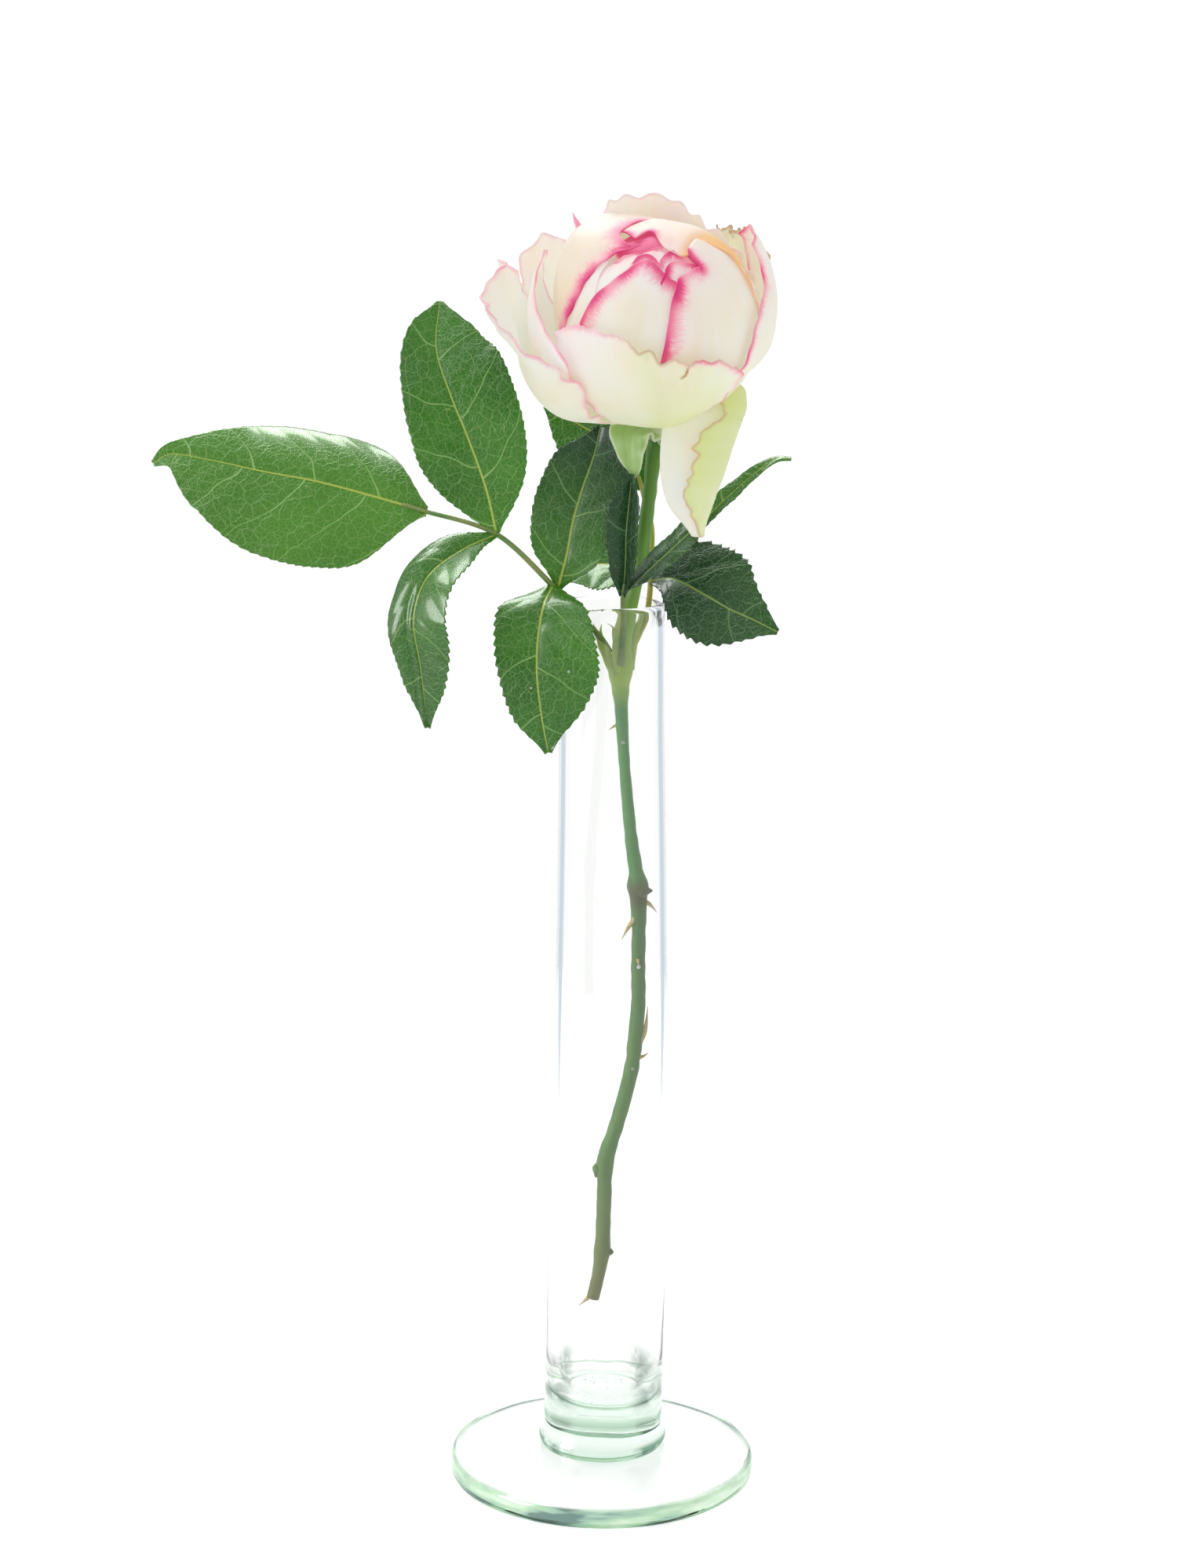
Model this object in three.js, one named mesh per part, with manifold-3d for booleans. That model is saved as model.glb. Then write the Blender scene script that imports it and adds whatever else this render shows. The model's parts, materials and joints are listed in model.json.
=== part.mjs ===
// A single cut garden rose in a slim glass bud vase, in millimetres.
// +Z is up, the origin is the centre of the foot's underside, and the bloom leans towards -Y.

import * as THREE from "three";
import { mergeVertices } from "three/addons/utils/BufferGeometryUtils.js";
import Module from "manifold-3d";

// Driving dimensions of the vase
const VASE_HEIGHT = 250;
const FOOT_RADIUS = 43.2;
const FOOT_THICKNESS = 5.8;
const NECK_RADIUS = 17.4;
const TUBE_RADIUS_LOW = 16.7;
const TUBE_RADIUS_HIGH = 14.5;
const WALL = 1.7;
const LIP_RADIUS = 1.45;
const PLUG_TOP = 24;
const KICK_HEIGHT = 2;
const TUBE_BOW = 1.2;
const VASE_SIDES = 32;

// Driving dimensions of the flower
const BLADE = 0.7;
const STEM_SIDES = 8;
const PETIOLE_RADIUS = 0.8;
const BLOOM_BASE = [11.2, 2, 296.5];
const BLOOM_TILT = 30;
const GLOBE_RADIUS = 25;
const GLOBE_HEIGHT = 34;
const HIP_RADIUS = 3.4;

const wasm = await Module();
wasm.setup();

const radians = THREE.MathUtils.degToRad;
const lerp = THREE.MathUtils.lerp;
const clamp = THREE.MathUtils.clamp;
const vector = (p) => new THREE.Vector3(...p);
const curveThrough = (points) => new THREE.CatmullRomCurve3(points.map(vector), false, "centripetal");

// Value at t, from 0 to 1, of a smooth curve through values at even steps
function spread(values, t) {
  const last = values.length - 1;
  const at = clamp(t, 0, 1) * last;
  const i = Math.min(Math.floor(at), Math.max(0, last - 1));
  const pick = (k) => values[clamp(k, 0, last)];
  const [a, b, c, d] = [pick(i - 1), pick(i), pick(i + 1), pick(i + 2)];
  const f = at - i;
  const turn = (c - a) * f + (2 * a - 5 * b + 4 * c - d) * f * f + (3 * b - a - 3 * c + d) * f ** 3;
  return b + turn / 2;
}

// Value at t of a list of [t, value] pairs, eased from each to the next
function along(pairs, t) {
  const after = Math.max(1, pairs.findIndex(([at]) => at >= t));
  const [t0, a] = pairs[after - 1];
  const [t1, b] = pairs[after];
  return lerp(a, b, THREE.MathUtils.smoothstep(t, t0, t1));
}

// Solids in and out of the boolean library
function solidOf(geometry) {
  const bare = geometry.index ? geometry.toNonIndexed() : geometry.clone();
  for (const name of Object.keys(bare.attributes)) {
    if (name !== "position") bare.deleteAttribute(name);
  }
  const merged = mergeVertices(bare, 1e-4);
  return new wasm.Manifold(
    new wasm.Mesh({
      numProp: 3,
      vertProperties: merged.attributes.position.array,
      triVerts: new Uint32Array(merged.index.array),
    }),
  );
}

function geometryOf(solid) {
  const mesh = solid.getMesh();
  const geometry = new THREE.BufferGeometry();
  geometry.setAttribute("position", new THREE.BufferAttribute(mesh.vertProperties, 3));
  geometry.setIndex(new THREE.BufferAttribute(mesh.triVerts, 1));
  return geometry.toNonIndexed();
}

// The pieces fused into one body, without loose scraps or sealed hollows
function fused(geometries) {
  const whole = geometries.map(solidOf).reduce((sum, next) => sum.add(next));
  const bodies = whole.decompose().filter((body) => body.volume() > 0);
  bodies.sort((a, b) => b.volume() - a.volume());
  return geometryOf(bodies[0]);
}

function namedMesh(name, geometry, finish) {
  geometry.computeVertexNormals();
  const mesh = new THREE.Mesh(geometry, new THREE.MeshStandardMaterial(finish));
  mesh.name = name;
  return mesh;
}

// A thin closed blade over surface(u, v), with u from -1 to 1 across and v from 0 to 1 along
function blade(surface, across, rows, thickness = BLADE) {
  const step = 1e-3;
  const sheet = new THREE.PlaneGeometry(2, 1, across, rows);
  const flat = sheet.attributes.position;
  const corners = [];
  for (let i = 0; i < flat.count; i++) {
    const u = flat.getX(i);
    const v = flat.getY(i) + 0.5;
    const uIn = clamp(u, -1 + step, 1 - step);
    const vIn = clamp(v, step, 1 - step);
    const du = surface(uIn + step, vIn).sub(surface(uIn - step, vIn));
    const dv = surface(uIn, vIn + step).sub(surface(uIn, vIn - step));
    const normal = du.cross(dv).normalize();
    const point = surface(u, v);
    corners.push([point, normal]);
  }
  const positions = [];
  for (const side of [0.5, -0.5]) {
    for (const [point, normal] of corners) {
      positions.push(...point.clone().addScaledVector(normal, side * thickness).toArray());
    }
  }
  const front = Array.from(sheet.index.array);
  const index = [...front];
  for (let i = 0; i < front.length; i += 3) {
    index.push(front[i] + flat.count, front[i + 2] + flat.count, front[i + 1] + flat.count);
  }
  const columns = across + 1;
  const rim = [];
  for (let i = 0; i < across; i++) rim.push(i);
  for (let j = 0; j < rows; j++) rim.push(j * columns + across);
  for (let i = across; i > 0; i--) rim.push(rows * columns + i);
  for (let j = rows; j > 0; j--) rim.push(j * columns);
  rim.forEach((a, k) => {
    const b = rim[(k + 1) % rim.length];
    index.push(a, b, b + flat.count, a, b + flat.count, a + flat.count);
  });
  const geometry = new THREE.BufferGeometry();
  geometry.setAttribute("position", new THREE.Float32BufferAttribute(positions, 3));
  geometry.setIndex(index);
  return geometry;
}

// A round rod through points, with its radius given as [share of length, radius] pairs
function rod(points, radii, steps, sides = STEM_SIDES) {
  const curve = curveThrough(points);
  const frames = curve.computeFrenetFrames(steps);
  const geometry = new THREE.CylinderGeometry(1, 1, 1, sides, steps);
  const place = geometry.attributes.position;
  for (let i = 0; i < place.count; i++) {
    const t = 0.5 - place.getY(i);
    const step = Math.round(t * steps);
    const radius = along(radii, t);
    const point = curve.getPointAt(t);
    point.addScaledVector(frames.normals[step], place.getX(i) * radius);
    point.addScaledVector(frames.binormals[step], place.getZ(i) * radius);
    place.setXYZ(i, point.x, point.y, point.z);
  }
  if (solidOf(geometry).volume() < 0) geometry.setIndex(Array.from(geometry.index.array).reverse());
  return geometry;
}

// A thorn or bud: a cone whose root lies inside the stem
function spike(from, to, radius, sides = 5) {
  const start = vector(from);
  const way = vector(to).sub(start);
  const geometry = new THREE.ConeGeometry(radius, way.length(), sides);
  geometry.translate(0, way.length() / 2, 0);
  geometry.applyQuaternion(new THREE.Quaternion().setFromUnitVectors(new THREE.Vector3(0, 1, 0), way.normalize()));
  return geometry.translate(start.x, start.y, start.z);
}

function knob(at, size) {
  return new THREE.SphereGeometry(1, 8, 6).scale(...size).rotateX(Math.PI / 2).translate(...at);
}

// The glass vase, turned in one piece and bowed a little as a hand-drawn tube is
function vase() {
  const lipHeight = VASE_HEIGHT - LIP_RADIUS;
  const lipAt = TUBE_RADIUS_HIGH - LIP_RADIUS;
  const profile = new THREE.Path();
  profile.moveTo(0, 0);
  profile.lineTo(FOOT_RADIUS - 2.4, 0);
  profile.quadraticCurveTo(FOOT_RADIUS, 0.4, FOOT_RADIUS, FOOT_THICKNESS / 2);
  profile.quadraticCurveTo(FOOT_RADIUS, FOOT_THICKNESS, FOOT_RADIUS - 3, FOOT_THICKNESS);
  profile.lineTo(NECK_RADIUS + 4, FOOT_THICKNESS + 0.8);
  profile.quadraticCurveTo(NECK_RADIUS, FOOT_THICKNESS + 1.2, NECK_RADIUS, FOOT_THICKNESS + 4);
  profile.lineTo(TUBE_RADIUS_LOW, FOOT_THICKNESS + 8);
  profile.lineTo(TUBE_RADIUS_LOW, PLUG_TOP + 30);
  profile.bezierCurveTo(TUBE_RADIUS_LOW - 0.3, 110, TUBE_RADIUS_HIGH + 0.5, 170, TUBE_RADIUS_HIGH, 215);
  profile.lineTo(TUBE_RADIUS_HIGH, lipHeight);
  profile.absarc(lipAt, lipHeight, LIP_RADIUS, 0, Math.PI, false);
  profile.lineTo(TUBE_RADIUS_HIGH - WALL, lipHeight - 5);
  profile.lineTo(TUBE_RADIUS_HIGH - WALL, 215);
  profile.bezierCurveTo(
    TUBE_RADIUS_HIGH + 0.5 - WALL, 170, TUBE_RADIUS_LOW - 0.3 - WALL, 110, TUBE_RADIUS_LOW - WALL, PLUG_TOP + 30,
  );
  profile.lineTo(TUBE_RADIUS_LOW - WALL, PLUG_TOP + 6);
  profile.quadraticCurveTo(TUBE_RADIUS_LOW - WALL, PLUG_TOP - 1, 9, PLUG_TOP);
  profile.quadraticCurveTo(6, PLUG_TOP + KICK_HEIGHT, 0, PLUG_TOP + KICK_HEIGHT);
  const outline = profile.getPoints(3);
  outline[0].x = 0;
  outline[outline.length - 1].x = 0;
  const geometry = new THREE.LatheGeometry(outline, VASE_SIDES).rotateX(Math.PI / 2);
  const place = geometry.attributes.position;
  for (let i = 0; i < place.count; i++) {
    const share = clamp((place.getZ(i) - FOOT_THICKNESS) / (VASE_HEIGHT - FOOT_THICKNESS), 0, 1);
    place.setX(i, place.getX(i) + TUBE_BOW * Math.sin(Math.PI * Math.min(1, share * 1.03)));
  }
  return fused([geometry]);
}

// The stem, from the hip down to its cut end, with its nodes, thorns and buds
const STEM_ROUTE = [
  [11.1, 2, 293.2], [9.4, 1, 275.7], [7.5, 0.4, 261], [5.6, 0, 251.6], [3.6, 0, 240], [2.6, 0, 231.5],
  [2.9, 0.4, 222], [3.9, 1, 206.7], [5, 1.5, 195], [6.3, 2, 183.4], [8.3, 2.4, 170], [8.7, 2.5, 158],
  [8.7, 2.5, 146.8], [8.9, 2.5, 137.7], [8.2, 2.2, 128.7], [7.4, 2, 119.6], [5.4, 1.5, 110.4],
  [2.9, 1, 101.2], [0.2, 0, 92.2], [-0.1, -0.5, 82], [-0.3, -0.5, 72.7], [-0.5, -0.4, 65.5],
  [-1.5, 0, 58], [-3, 0, 51],
];
const STEM_RADII = [
  [0, 2.2], [0.05, 1.9], [0.2, 1.95], [0.225, 2.2], [0.252, 3.6], [0.275, 2.4], [0.3, 1.8], [0.36, 1.55],
  [0.43, 1.7], [0.485, 2], [0.505, 3], [0.53, 2.3], [0.56, 2], [0.7, 2.1], [0.805, 2.1], [0.83, 2.5],
  [0.86, 2.1], [0.92, 2.1], [0.94, 2.4], [0.965, 1.9], [1, 1.8],
];

function stem() {
  const lowestStub = [-7.1, 0, 48.4];
  return fused([
    rod(STEM_ROUTE, STEM_RADII, 48),
    knob([9.4, 1.2, 169.5], [3, 2.6, 1.9]),
    spike([9, 2.4, 166.5], [13.9, 1.4, 163.2], 1.1),
    spike([8, 2, 162], [3.9, -0.4, 156], 1.1),
    spike([8.2, 2.4, 150], [8.6, -2.2, 148.6], 0.9),
    spike([3.4, 0.8, 216.5], [-0.4, 0.2, 214.8], 0.9),
    rod([[8, 2.2, 124], [10.6, 1.9, 128.5], [11.6, 1.8, 136.5]], [[0, 1.6], [0.6, 1.1], [1, 0.35]], 5, 6),
    spike([7.6, 2, 121], [12, 1.7, 122.8], 1.2),
    knob([-1.4, -0.4, 89.4], [1.6, 1.4, 2.6]),
    knob([1.2, -0.5, 64.9], [1.7, 1.4, 1.5]),
    spike([-1.8, 0, 53.5], lowestStub, 1.5),
  ]);
}

// A leaflet along a midrib with toothed margins. left and right list its half widths at even steps from base to
// tip, face is the way its upper side looks, fold the degrees its halves rise and curl how far its margins drop.
const TOOTH = 0.94;

function leaflet({ rib, face, faceTip = face, left, right = left, fold = 8, curl = 0.3, across = 4, rows = 18 }) {
  const curve = curveThrough(rib);
  const faceStart = vector(face);
  const faceEnd = vector(faceTip);
  return blade((u, v) => {
    const t = clamp(v, 0.005, 0.995);
    const way = curve.getTangentAt(t);
    const up = faceStart.clone().lerp(faceEnd, t);
    up.addScaledVector(way, -up.dot(way)).normalize();
    const side = new THREE.Vector3().crossVectors(way, up);
    const tooth = Math.abs(u) > 0.99 && Math.round(v * rows) % 2 ? 1 : TOOTH;
    const out = u * tooth * spread(u < 0 ? left : right, t);
    const rise = Math.abs(out) * Math.sin(radians(fold)) - (curl * out * out) / 100;
    return curve.getPointAt(t).addScaledVector(side, out * Math.cos(radians(fold))).addScaledVector(up, rise);
  }, across, rows);
}

// The left leaf: its stalk climbs inside the tube and over the lip to five leaflets
function leafLeft() {
  return fused([
    rod(
      [[-0.6, -0.9, 236.6], [-2.6, -2, 240], [-7.5, -2.8, 246.6], [-10.3, -3.2, 249.9], [-12.7, -3.6, 251.9],
        [-16, -5, 255], [-31.4, -9, 269.4], [-50.4, -12, 275.6], [-56, -13, 277.4]],
      [[0, 1.1], [0.15, PETIOLE_RADIUS], [1, 0.6]], 26, 6,
    ),
    blade(
      (u, v) => new THREE.Vector3(-1.4 - 6.4 * v + 0.4 * u, -1.8 - 0.6 * v - u * 1.7 * Math.sin(0.4 + 2.5 * v),
        238.2 + 9 * v),
      2, 4,
    ),
    leaflet({
      rib: [[-49.5, -11.8, 275.4], [-64.7, -15, 280], [-78.7, -18, 283.9], [-92.8, -20, 286.6], [-106.9, -21, 289.6],
        [-117, -21, 290.8], [-121.3, -21, 288.2]],
      face: [0.1, -0.93, 0.4],
      left: [1, 19, 24, 22.5, 14.5, 0.6],
      right: [1, 14, 13.5, 12.5, 7.5, 0.6],
      fold: 5,
    }),
    leaflet({
      rib: [[-31.2, -8.9, 269.4], [-33.8, -11, 281.1], [-38.4, -13, 294.4], [-43.4, -13, 306.6], [-47.3, -10, 318.5],
        [-46.6, -5, 330.8]],
      face: [0.05, -1, 0.1],
      left: [0.8, 11, 15, 13, 9, 0.6],
      right: [0.8, 11, 15.6, 16.8, 13.4, 0.6],
    }),
    leaflet({
      rib: [[-31, -8.9, 269.2], [-39.9, -14, 265.7], [-49, -20, 259], [-52.6, -22, 248.8], [-50.9, -20, 234.8],
        [-49.2, -15, 217.4]],
      face: [-0.3, -0.9, 0.9],
      faceTip: [-0.2, -1, 0.1],
      left: [0.8, 8, 9.5, 9.5, 6.5, 0.6],
      right: [0.8, 7.5, 10.5, 8.4, 5.4, 0.6],
      fold: 40,
      curl: 1.5,
    }),
    leaflet({
      rib: [[-14.6, -4.4, 254.2], [-12.4, -5.8, 263.3], [-10.8, -6, 272.4], [-8.3, -5, 281.4], [-5.3, -3.2, 290.1],
        [-3.6, -2.4, 298]],
      face: [-0.1, -1, 0],
      left: [0.8, 9, 11.4, 11.4, 9.4, 0.6],
      right: [0.8, 8.6, 11.4, 10, 5.6, 0.6],
    }),
    leaflet({
      rib: [[-16, -5.2, 255.2], [-18.4, -13.4, 250.6], [-19.8, -17.2, 241.5], [-19.9, -18.4, 232.7],
        [-18.6, -17.4, 221.5], [-16.7, -15.4, 211]],
      face: [0.05, -0.8, 0.7],
      faceTip: [0, -1, 0.1],
      left: [1.4, 12.6, 16, 15.4, 9.6, 0.6],
      right: [1.4, 12, 12, 10.2, 7.4, 0.6],
      fold: 2,
    }),
  ]);
}

// The back leaf: a yellow stalk behind the stem with three leaflets
function leafBack() {
  return fused([
    rod(
      [[5.9, 2.4, 238], [8.2, 2.9, 242.6], [9.7, 3.4, 247], [10.3, 4.4, 251], [10.6, 6.4, 255.3], [10.9, 8.6, 263.4],
        [10.7, 10, 270], [8.6, 11.4, 277], [7, 12.8, 283]],
      [[0, 1.1], [0.2, PETIOLE_RADIUS], [1, 0.6]], 16, 6,
    ),
    leaflet({
      rib: [[10.6, 6.2, 255.2], [16.5, 2.2, 256.3], [25.1, -2, 252.6], [31.9, -4, 249], [38.5, -5.6, 246.3],
        [45, -6.4, 243.2]],
      face: [0.1, -0.85, 0.5],
      left: [0.8, 13.2, 16, 14.6, 7, 0.6],
      right: [0.8, 7.6, 13.4, 13.6, 8, 0.6],
      fold: 4,
    }),
    leaflet({
      rib: [[10.6, 6.6, 255.6], [2.2, 11, 258.6], [-6.4, 14, 258.2], [-14, 15.4, 254]],
      face: [0, -0.8, 0.6],
      left: [0.8, 7, 9, 7, 0.6],
      fold: 7,
      rows: 14,
    }),
    leaflet({
      rib: [[8, 12, 279.4], [5.8, 14.4, 286.4], [-2.5, 17.6, 292.4], [-10.1, 19.6, 296.8], [-19, 20.4, 301.6]],
      face: [0.25, -0.85, -0.3],
      left: [0.8, 8, 12, 12, 8, 0.6],
      fold: 8,
      rows: 14,
    }),
  ]);
}

// The front leaf: a short stalk before the stem with one upright folded leaflet and one long curled one
function leafFront() {
  return fused([
    rod(
      [[2.6, -4.4, 233.6], [2.8, -4.6, 238], [3.1, -5.1, 246], [3, -5.6, 252.6], [3.4, -6.2, 256]],
      [[0, 1.2], [0.3, PETIOLE_RADIUS], [1, 0.7]], 8, 6,
    ),
    leaflet({
      rib: [[3, -5.6, 252.4], [3.5, -7.8, 262.2], [3.6, -9.4, 269.7], [4.3, -10.2, 277.2], [4.8, -10.4, 283]],
      face: [-0.35, -1, 0],
      left: [0.8, 3.6, 4.6, 4.6, 3.4, 0.6],
      fold: 40,
      across: 2,
      rows: 14,
    }),
    leaflet({
      rib: [[3.2, -5.9, 253.2], [7.9, -9, 258.2], [14.5, -10, 264.7], [24.9, -10, 274.6], [36.2, -9.5, 285.2],
        [43.4, -9, 290.4], [47.4, -9, 290.6]],
      face: [-0.55, -0.25, 0.8],
      left: [0.8, 5, 6, 5.4, 3.8, 2.2, 0.6],
      fold: 14,
      curl: 1,
    }),
  ]);
}

// The bloom's own frame: out from its axis at an azimuth (0 to the front, 90 to the right), and up along it
const bloomTilt = radians(BLOOM_TILT);
const bloomUp = new THREE.Vector3(0, -Math.sin(bloomTilt), Math.cos(bloomTilt));
const bloomFront = new THREE.Vector3(0, -Math.cos(bloomTilt), -Math.sin(bloomTilt));
const bloomRight = new THREE.Vector3(1, 0, 0);

function inBloom(azimuth, out, height) {
  const a = radians(azimuth);
  return vector(BLOOM_BASE)
    .addScaledVector(bloomRight, out * Math.sin(a))
    .addScaledVector(bloomFront, out * Math.cos(a))
    .addScaledVector(bloomUp, height);
}

// Place on the globe of the bloom at an azimuth and a latitude, lift mm outside it
function onGlobe(azimuth, latitude, lift) {
  const reach = GLOBE_RADIUS + lift;
  const b = radians(latitude);
  return inBloom(azimuth, reach * Math.cos(b), GLOBE_HEIGHT + reach * Math.sin(b));
}

// A petal that follows the globe. All its lists are read at even steps: left and right give its margins' azimuths
// from root to edge, lift the distance of its middle from the globe there, hugLeft and hugRight how much closer to
// the globe its margins lie, top the latitude of its edge from left to right and swell what that edge adds to lift.
const ROOT_LATITUDE = -66;

function petal({ left, right, top, lift, hugLeft = [0], hugRight = [0], swell = [0], across = 6, rows = 6 }) {
  return blade((u, v) => {
    const s = (u + 1) / 2;
    const azimuth = lerp(spread(left, v), spread(right, v), s);
    const latitude = lerp(ROOT_LATITUDE, spread(top, s), v);
    const hug = u * u * spread(u < 0 ? hugLeft : hugRight, v);
    return onGlobe(azimuth, latitude, spread(lift, v) - hug + v * v * spread(swell, s));
  }, across, rows);
}

// The closed heart of the bloom that the petals stand out of, with a wide base that holds their roots
function core() {
  const inner = -1.6;
  const root = 2;
  const points = [new THREE.Vector2(0, 2.9), new THREE.Vector2(2.6, 2.9)];
  for (const [latitude, lift] of [
    [-69, root], [-58, root], [-46, inner], [-25, inner], [0, inner], [25, inner], [45, inner], [60, -2], [70, -4],
  ]) {
    const b = radians(latitude);
    const reach = GLOBE_RADIUS + lift;
    points.push(new THREE.Vector2(reach * Math.cos(b), GLOBE_HEIGHT + reach * Math.sin(b)));
  }
  points.push(new THREE.Vector2(0, GLOBE_HEIGHT + GLOBE_RADIUS - 9));
  const geometry = new THREE.LatheGeometry(points, 16).rotateX(Math.PI / 2);
  return geometry.rotateX(bloomTilt).translate(...BLOOM_BASE);
}

// Petals of the globe, from the innermost out, then the outer ones that open away from it
const PETALS = [
  // strip between the left and the middle petal
  { left: [-90, -78], right: [-25, -30], top: [70, 68], lift: [-0.5, -0.7], across: 4 },
  // middle petal
  { left: [-56, -55, -54, -53, -52, -26], right: [24, 26], top: [68, 71, 64, 58], lift: [0.6, 0.5], hugRight: [1.4] },
  // right petal, its left margin over the middle one
  { left: [0, 0, 0, 1, 6, 26], right: [88, 84], top: [58, 60, 70, 67], lift: [1.4, 1.6, 1.4], hugLeft: [-0.4],
    hugRight: [1.8] },
  // left petal, wrapped round to the back, its shoulder standing out
  { left: [-190, -188], right: [-76, -74, -71, -68, -67, -50], top: [56, 58, 62, 70], lift: [1, 1.6, 3.4, 7, 10, 2.6],
    hugLeft: [0, 0, 1, 4, 6, 0], hugRight: [0, 0, 1, 4.4, 7, -0.6], across: 8, rows: 8 },
  // back petal, its front margin an arc over the heart
  { left: [76, 77, 78, 79, 81, 98], right: [184, 200], top: [78, 68, 62, 60], lift: [0.5, 1] },
  // upper back petal that stands over the arc
  { left: [84, 82, 92], right: [206, 212], top: [22, 34, 44, 45, 47, 45], lift: [1.2, 1.8, 2.4, 2.6],
    swell: [-0.7, -0.7, 0.6, 3.4, 6.4, 6.6], across: 9 },
  // right outer petal
  { left: [44, 44, 46, 50, 66, 108], right: [124, 128], top: [38, 40, 34], lift: [1, 0.4, 0.4, 5.2, 7.2, 9.4],
    hugLeft: [0, 0, 0, 2, 3.4, 3], hugRight: [0, 0, 0, 1, 2, 3], rows: 8 },
  // wilted petal behind it
  { left: [114, 116], right: [156, 152], top: [24, 30, 24, 20], lift: [1.4, 3, 6.4, 8.6], across: 5 },
  // left petal that stands close against the globe, pointed
  { left: [-140, -112], right: [-40, -42, -44, -46, -54, -107], top: [25, 25], lift: [2, 3, 5, 8, 9, 9.6],
    hugRight: [0, 0, 1.6, 2.6, 2, 0], rows: 8 },
  // front petal, wide and low, with a ragged edge
  { left: [-28, -36, -48, -64], right: [24, 38, 46, 48], top: [11, 18, 22, 23, 22, 17, 13, 13, 11, 5, -4],
    lift: [2, 2.4, 3, 4.6], hugLeft: [0, -1, -1, -0.6], hugRight: [0, 1.5, 1.5, 0.6], across: 13, rows: 5 },
  // left outer petal, cupped away from the globe, its lip turned out
  { left: [-112, -116], right: [-38, -40, -40, -41, -47, -80], top: [6, 14, 18, 11, 12],
    lift: [2.2, 5.4, 11.6, 14, 14.8, 22], hugLeft: [0, 0, 2, 4, 5, 6], hugRight: [0, 1.6, 6.7, 9.4, 8.4, 2],
    swell: [0, -2, -4, 0, 0], across: 7, rows: 9 },
  // pale petal behind the left one
  { left: [-150, -138], right: [-104, -108], top: [10, 17, 19, 16], lift: [2, 4, 9, 15], across: 4 },
  // two low outer petals that close the back
  { left: [-215, -208], right: [-158, -156], top: [10, 16, 10], lift: [2, 3, 6, 10], across: 5 },
  { left: [162, 160], right: [116, 126], top: [-6, 0, -6], lift: [2, 3, 6, 9], across: 4 },
];

// Curled ribbons that fill the heart, each from one azimuth and distance from the axis to another
const HEART_FOLDS = [
  { azimuth: [-70, 120], out: [7.6, 3], foot: 48, crest: [55.5, 57, 57.5, 55] },
  { azimuth: [60, 250], out: [9, 4], foot: 48, crest: [56, 57.6, 58, 56] },
  { azimuth: [190, 340], out: [9.6, 5], foot: 48, crest: [55, 57, 57.6, 56] },
];

function heartFold({ azimuth, out, foot, crest }) {
  return blade((u, v) => {
    const s = (u + 1) / 2;
    const ripple = 0.5 * Math.sin(s * 14) * v;
    return inBloom(spread(azimuth, s), spread(out, s) + 1.2 * v + ripple, lerp(foot, spread(crest, s), v));
  }, 9, 2);
}

// The outer petal that hangs down before the stem, its right side folded over
function droopingPetal() {
  const curve = curveThrough([
    [11.6, 0.2, 300], [16.5, -6, 303], [23.5, -14, 309], [24, -19.2, 304], [22.2, -21.5, 296.5], [20.7, -22.5, 287],
    [20.4, -22.3, 279], [22.4, -21.5, 270.6],
  ]);
  const half = [2, 6, 9.6, 11, 10.2, 8.6, 6, 1.6];
  return blade((u, v) => {
    const centre = curve.getPoint(v);
    const out = u * spread(half, v);
    const bow = -3.2 * u * u + 1.2 * Math.sin(3 * Math.PI * v) * u;
    return centre.add(new THREE.Vector3(out * 0.97, -bow * Math.min(1, v * 2), out * 0.16 * (1 - v)));
  }, 6, 13);
}

function bloom() {
  return fused([
    core(),
    ...PETALS.map(petal),
    ...HEART_FOLDS.map(heartFold),
    droopingPetal(),
  ]);
}

// The calyx: the round hip with five sepals, one of them hanging before the stem
const SEPALS = [
  { rib: [[10.4, 0.8, 295], [8.8, -3.4, 296.4], [6, -7, 296], [5.1, -9.4, 291.6], [6.3, -9.2, 285.8]],
    face: [-0.3, -0.7, 0.6], faceTip: [-0.3, -0.9, 0], width: [1.8, 5, 6.6, 5.2, 0.6] },
  { rib: [[12.2, 0.6, 294.8], [15.6, -3, 294.2], [18.4, -6, 291], [19.6, -7, 285]],
    face: [0.3, -0.7, 0.6], faceTip: [0.5, -0.9, 0], width: [2, 4, 3.6, 0.6] },
  { rib: [[13.2, 2.4, 295], [19, 3.4, 295.4], [24, 4.6, 293.4], [28, 5, 288.6]],
    face: [0.2, 0, 1], width: [2, 4, 3.6, 0.6] },
  { rib: [[12, 3.6, 295.4], [14, 11, 298.6], [16, 18, 301], [17, 24, 300.6]],
    face: [0, -0.3, 1], width: [2, 4, 3.6, 0.6] },
  { rib: [[10.2, 3, 295.4], [6.4, 8.6, 300], [3.4, 12.4, 304], [1, 15.4, 307]],
    face: [-0.1, -0.6, 1], width: [2, 4, 3.4, 0.6] },
];

function calyx() {
  const hip = new THREE.SphereGeometry(1, 12, 8)
    .scale(HIP_RADIUS, 2.3, HIP_RADIUS)
    .rotateX(Math.PI / 2 + bloomTilt)
    .translate(BLOOM_BASE[0], BLOOM_BASE[1], BLOOM_BASE[2]);
  const sepals = SEPALS.map(({ width, ...shape }) =>
    leaflet({ ...shape, left: width, fold: 10, curl: 1.5, across: 2, rows: 7 }),
  );
  return fused([hip, ...sepals]);
}

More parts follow.
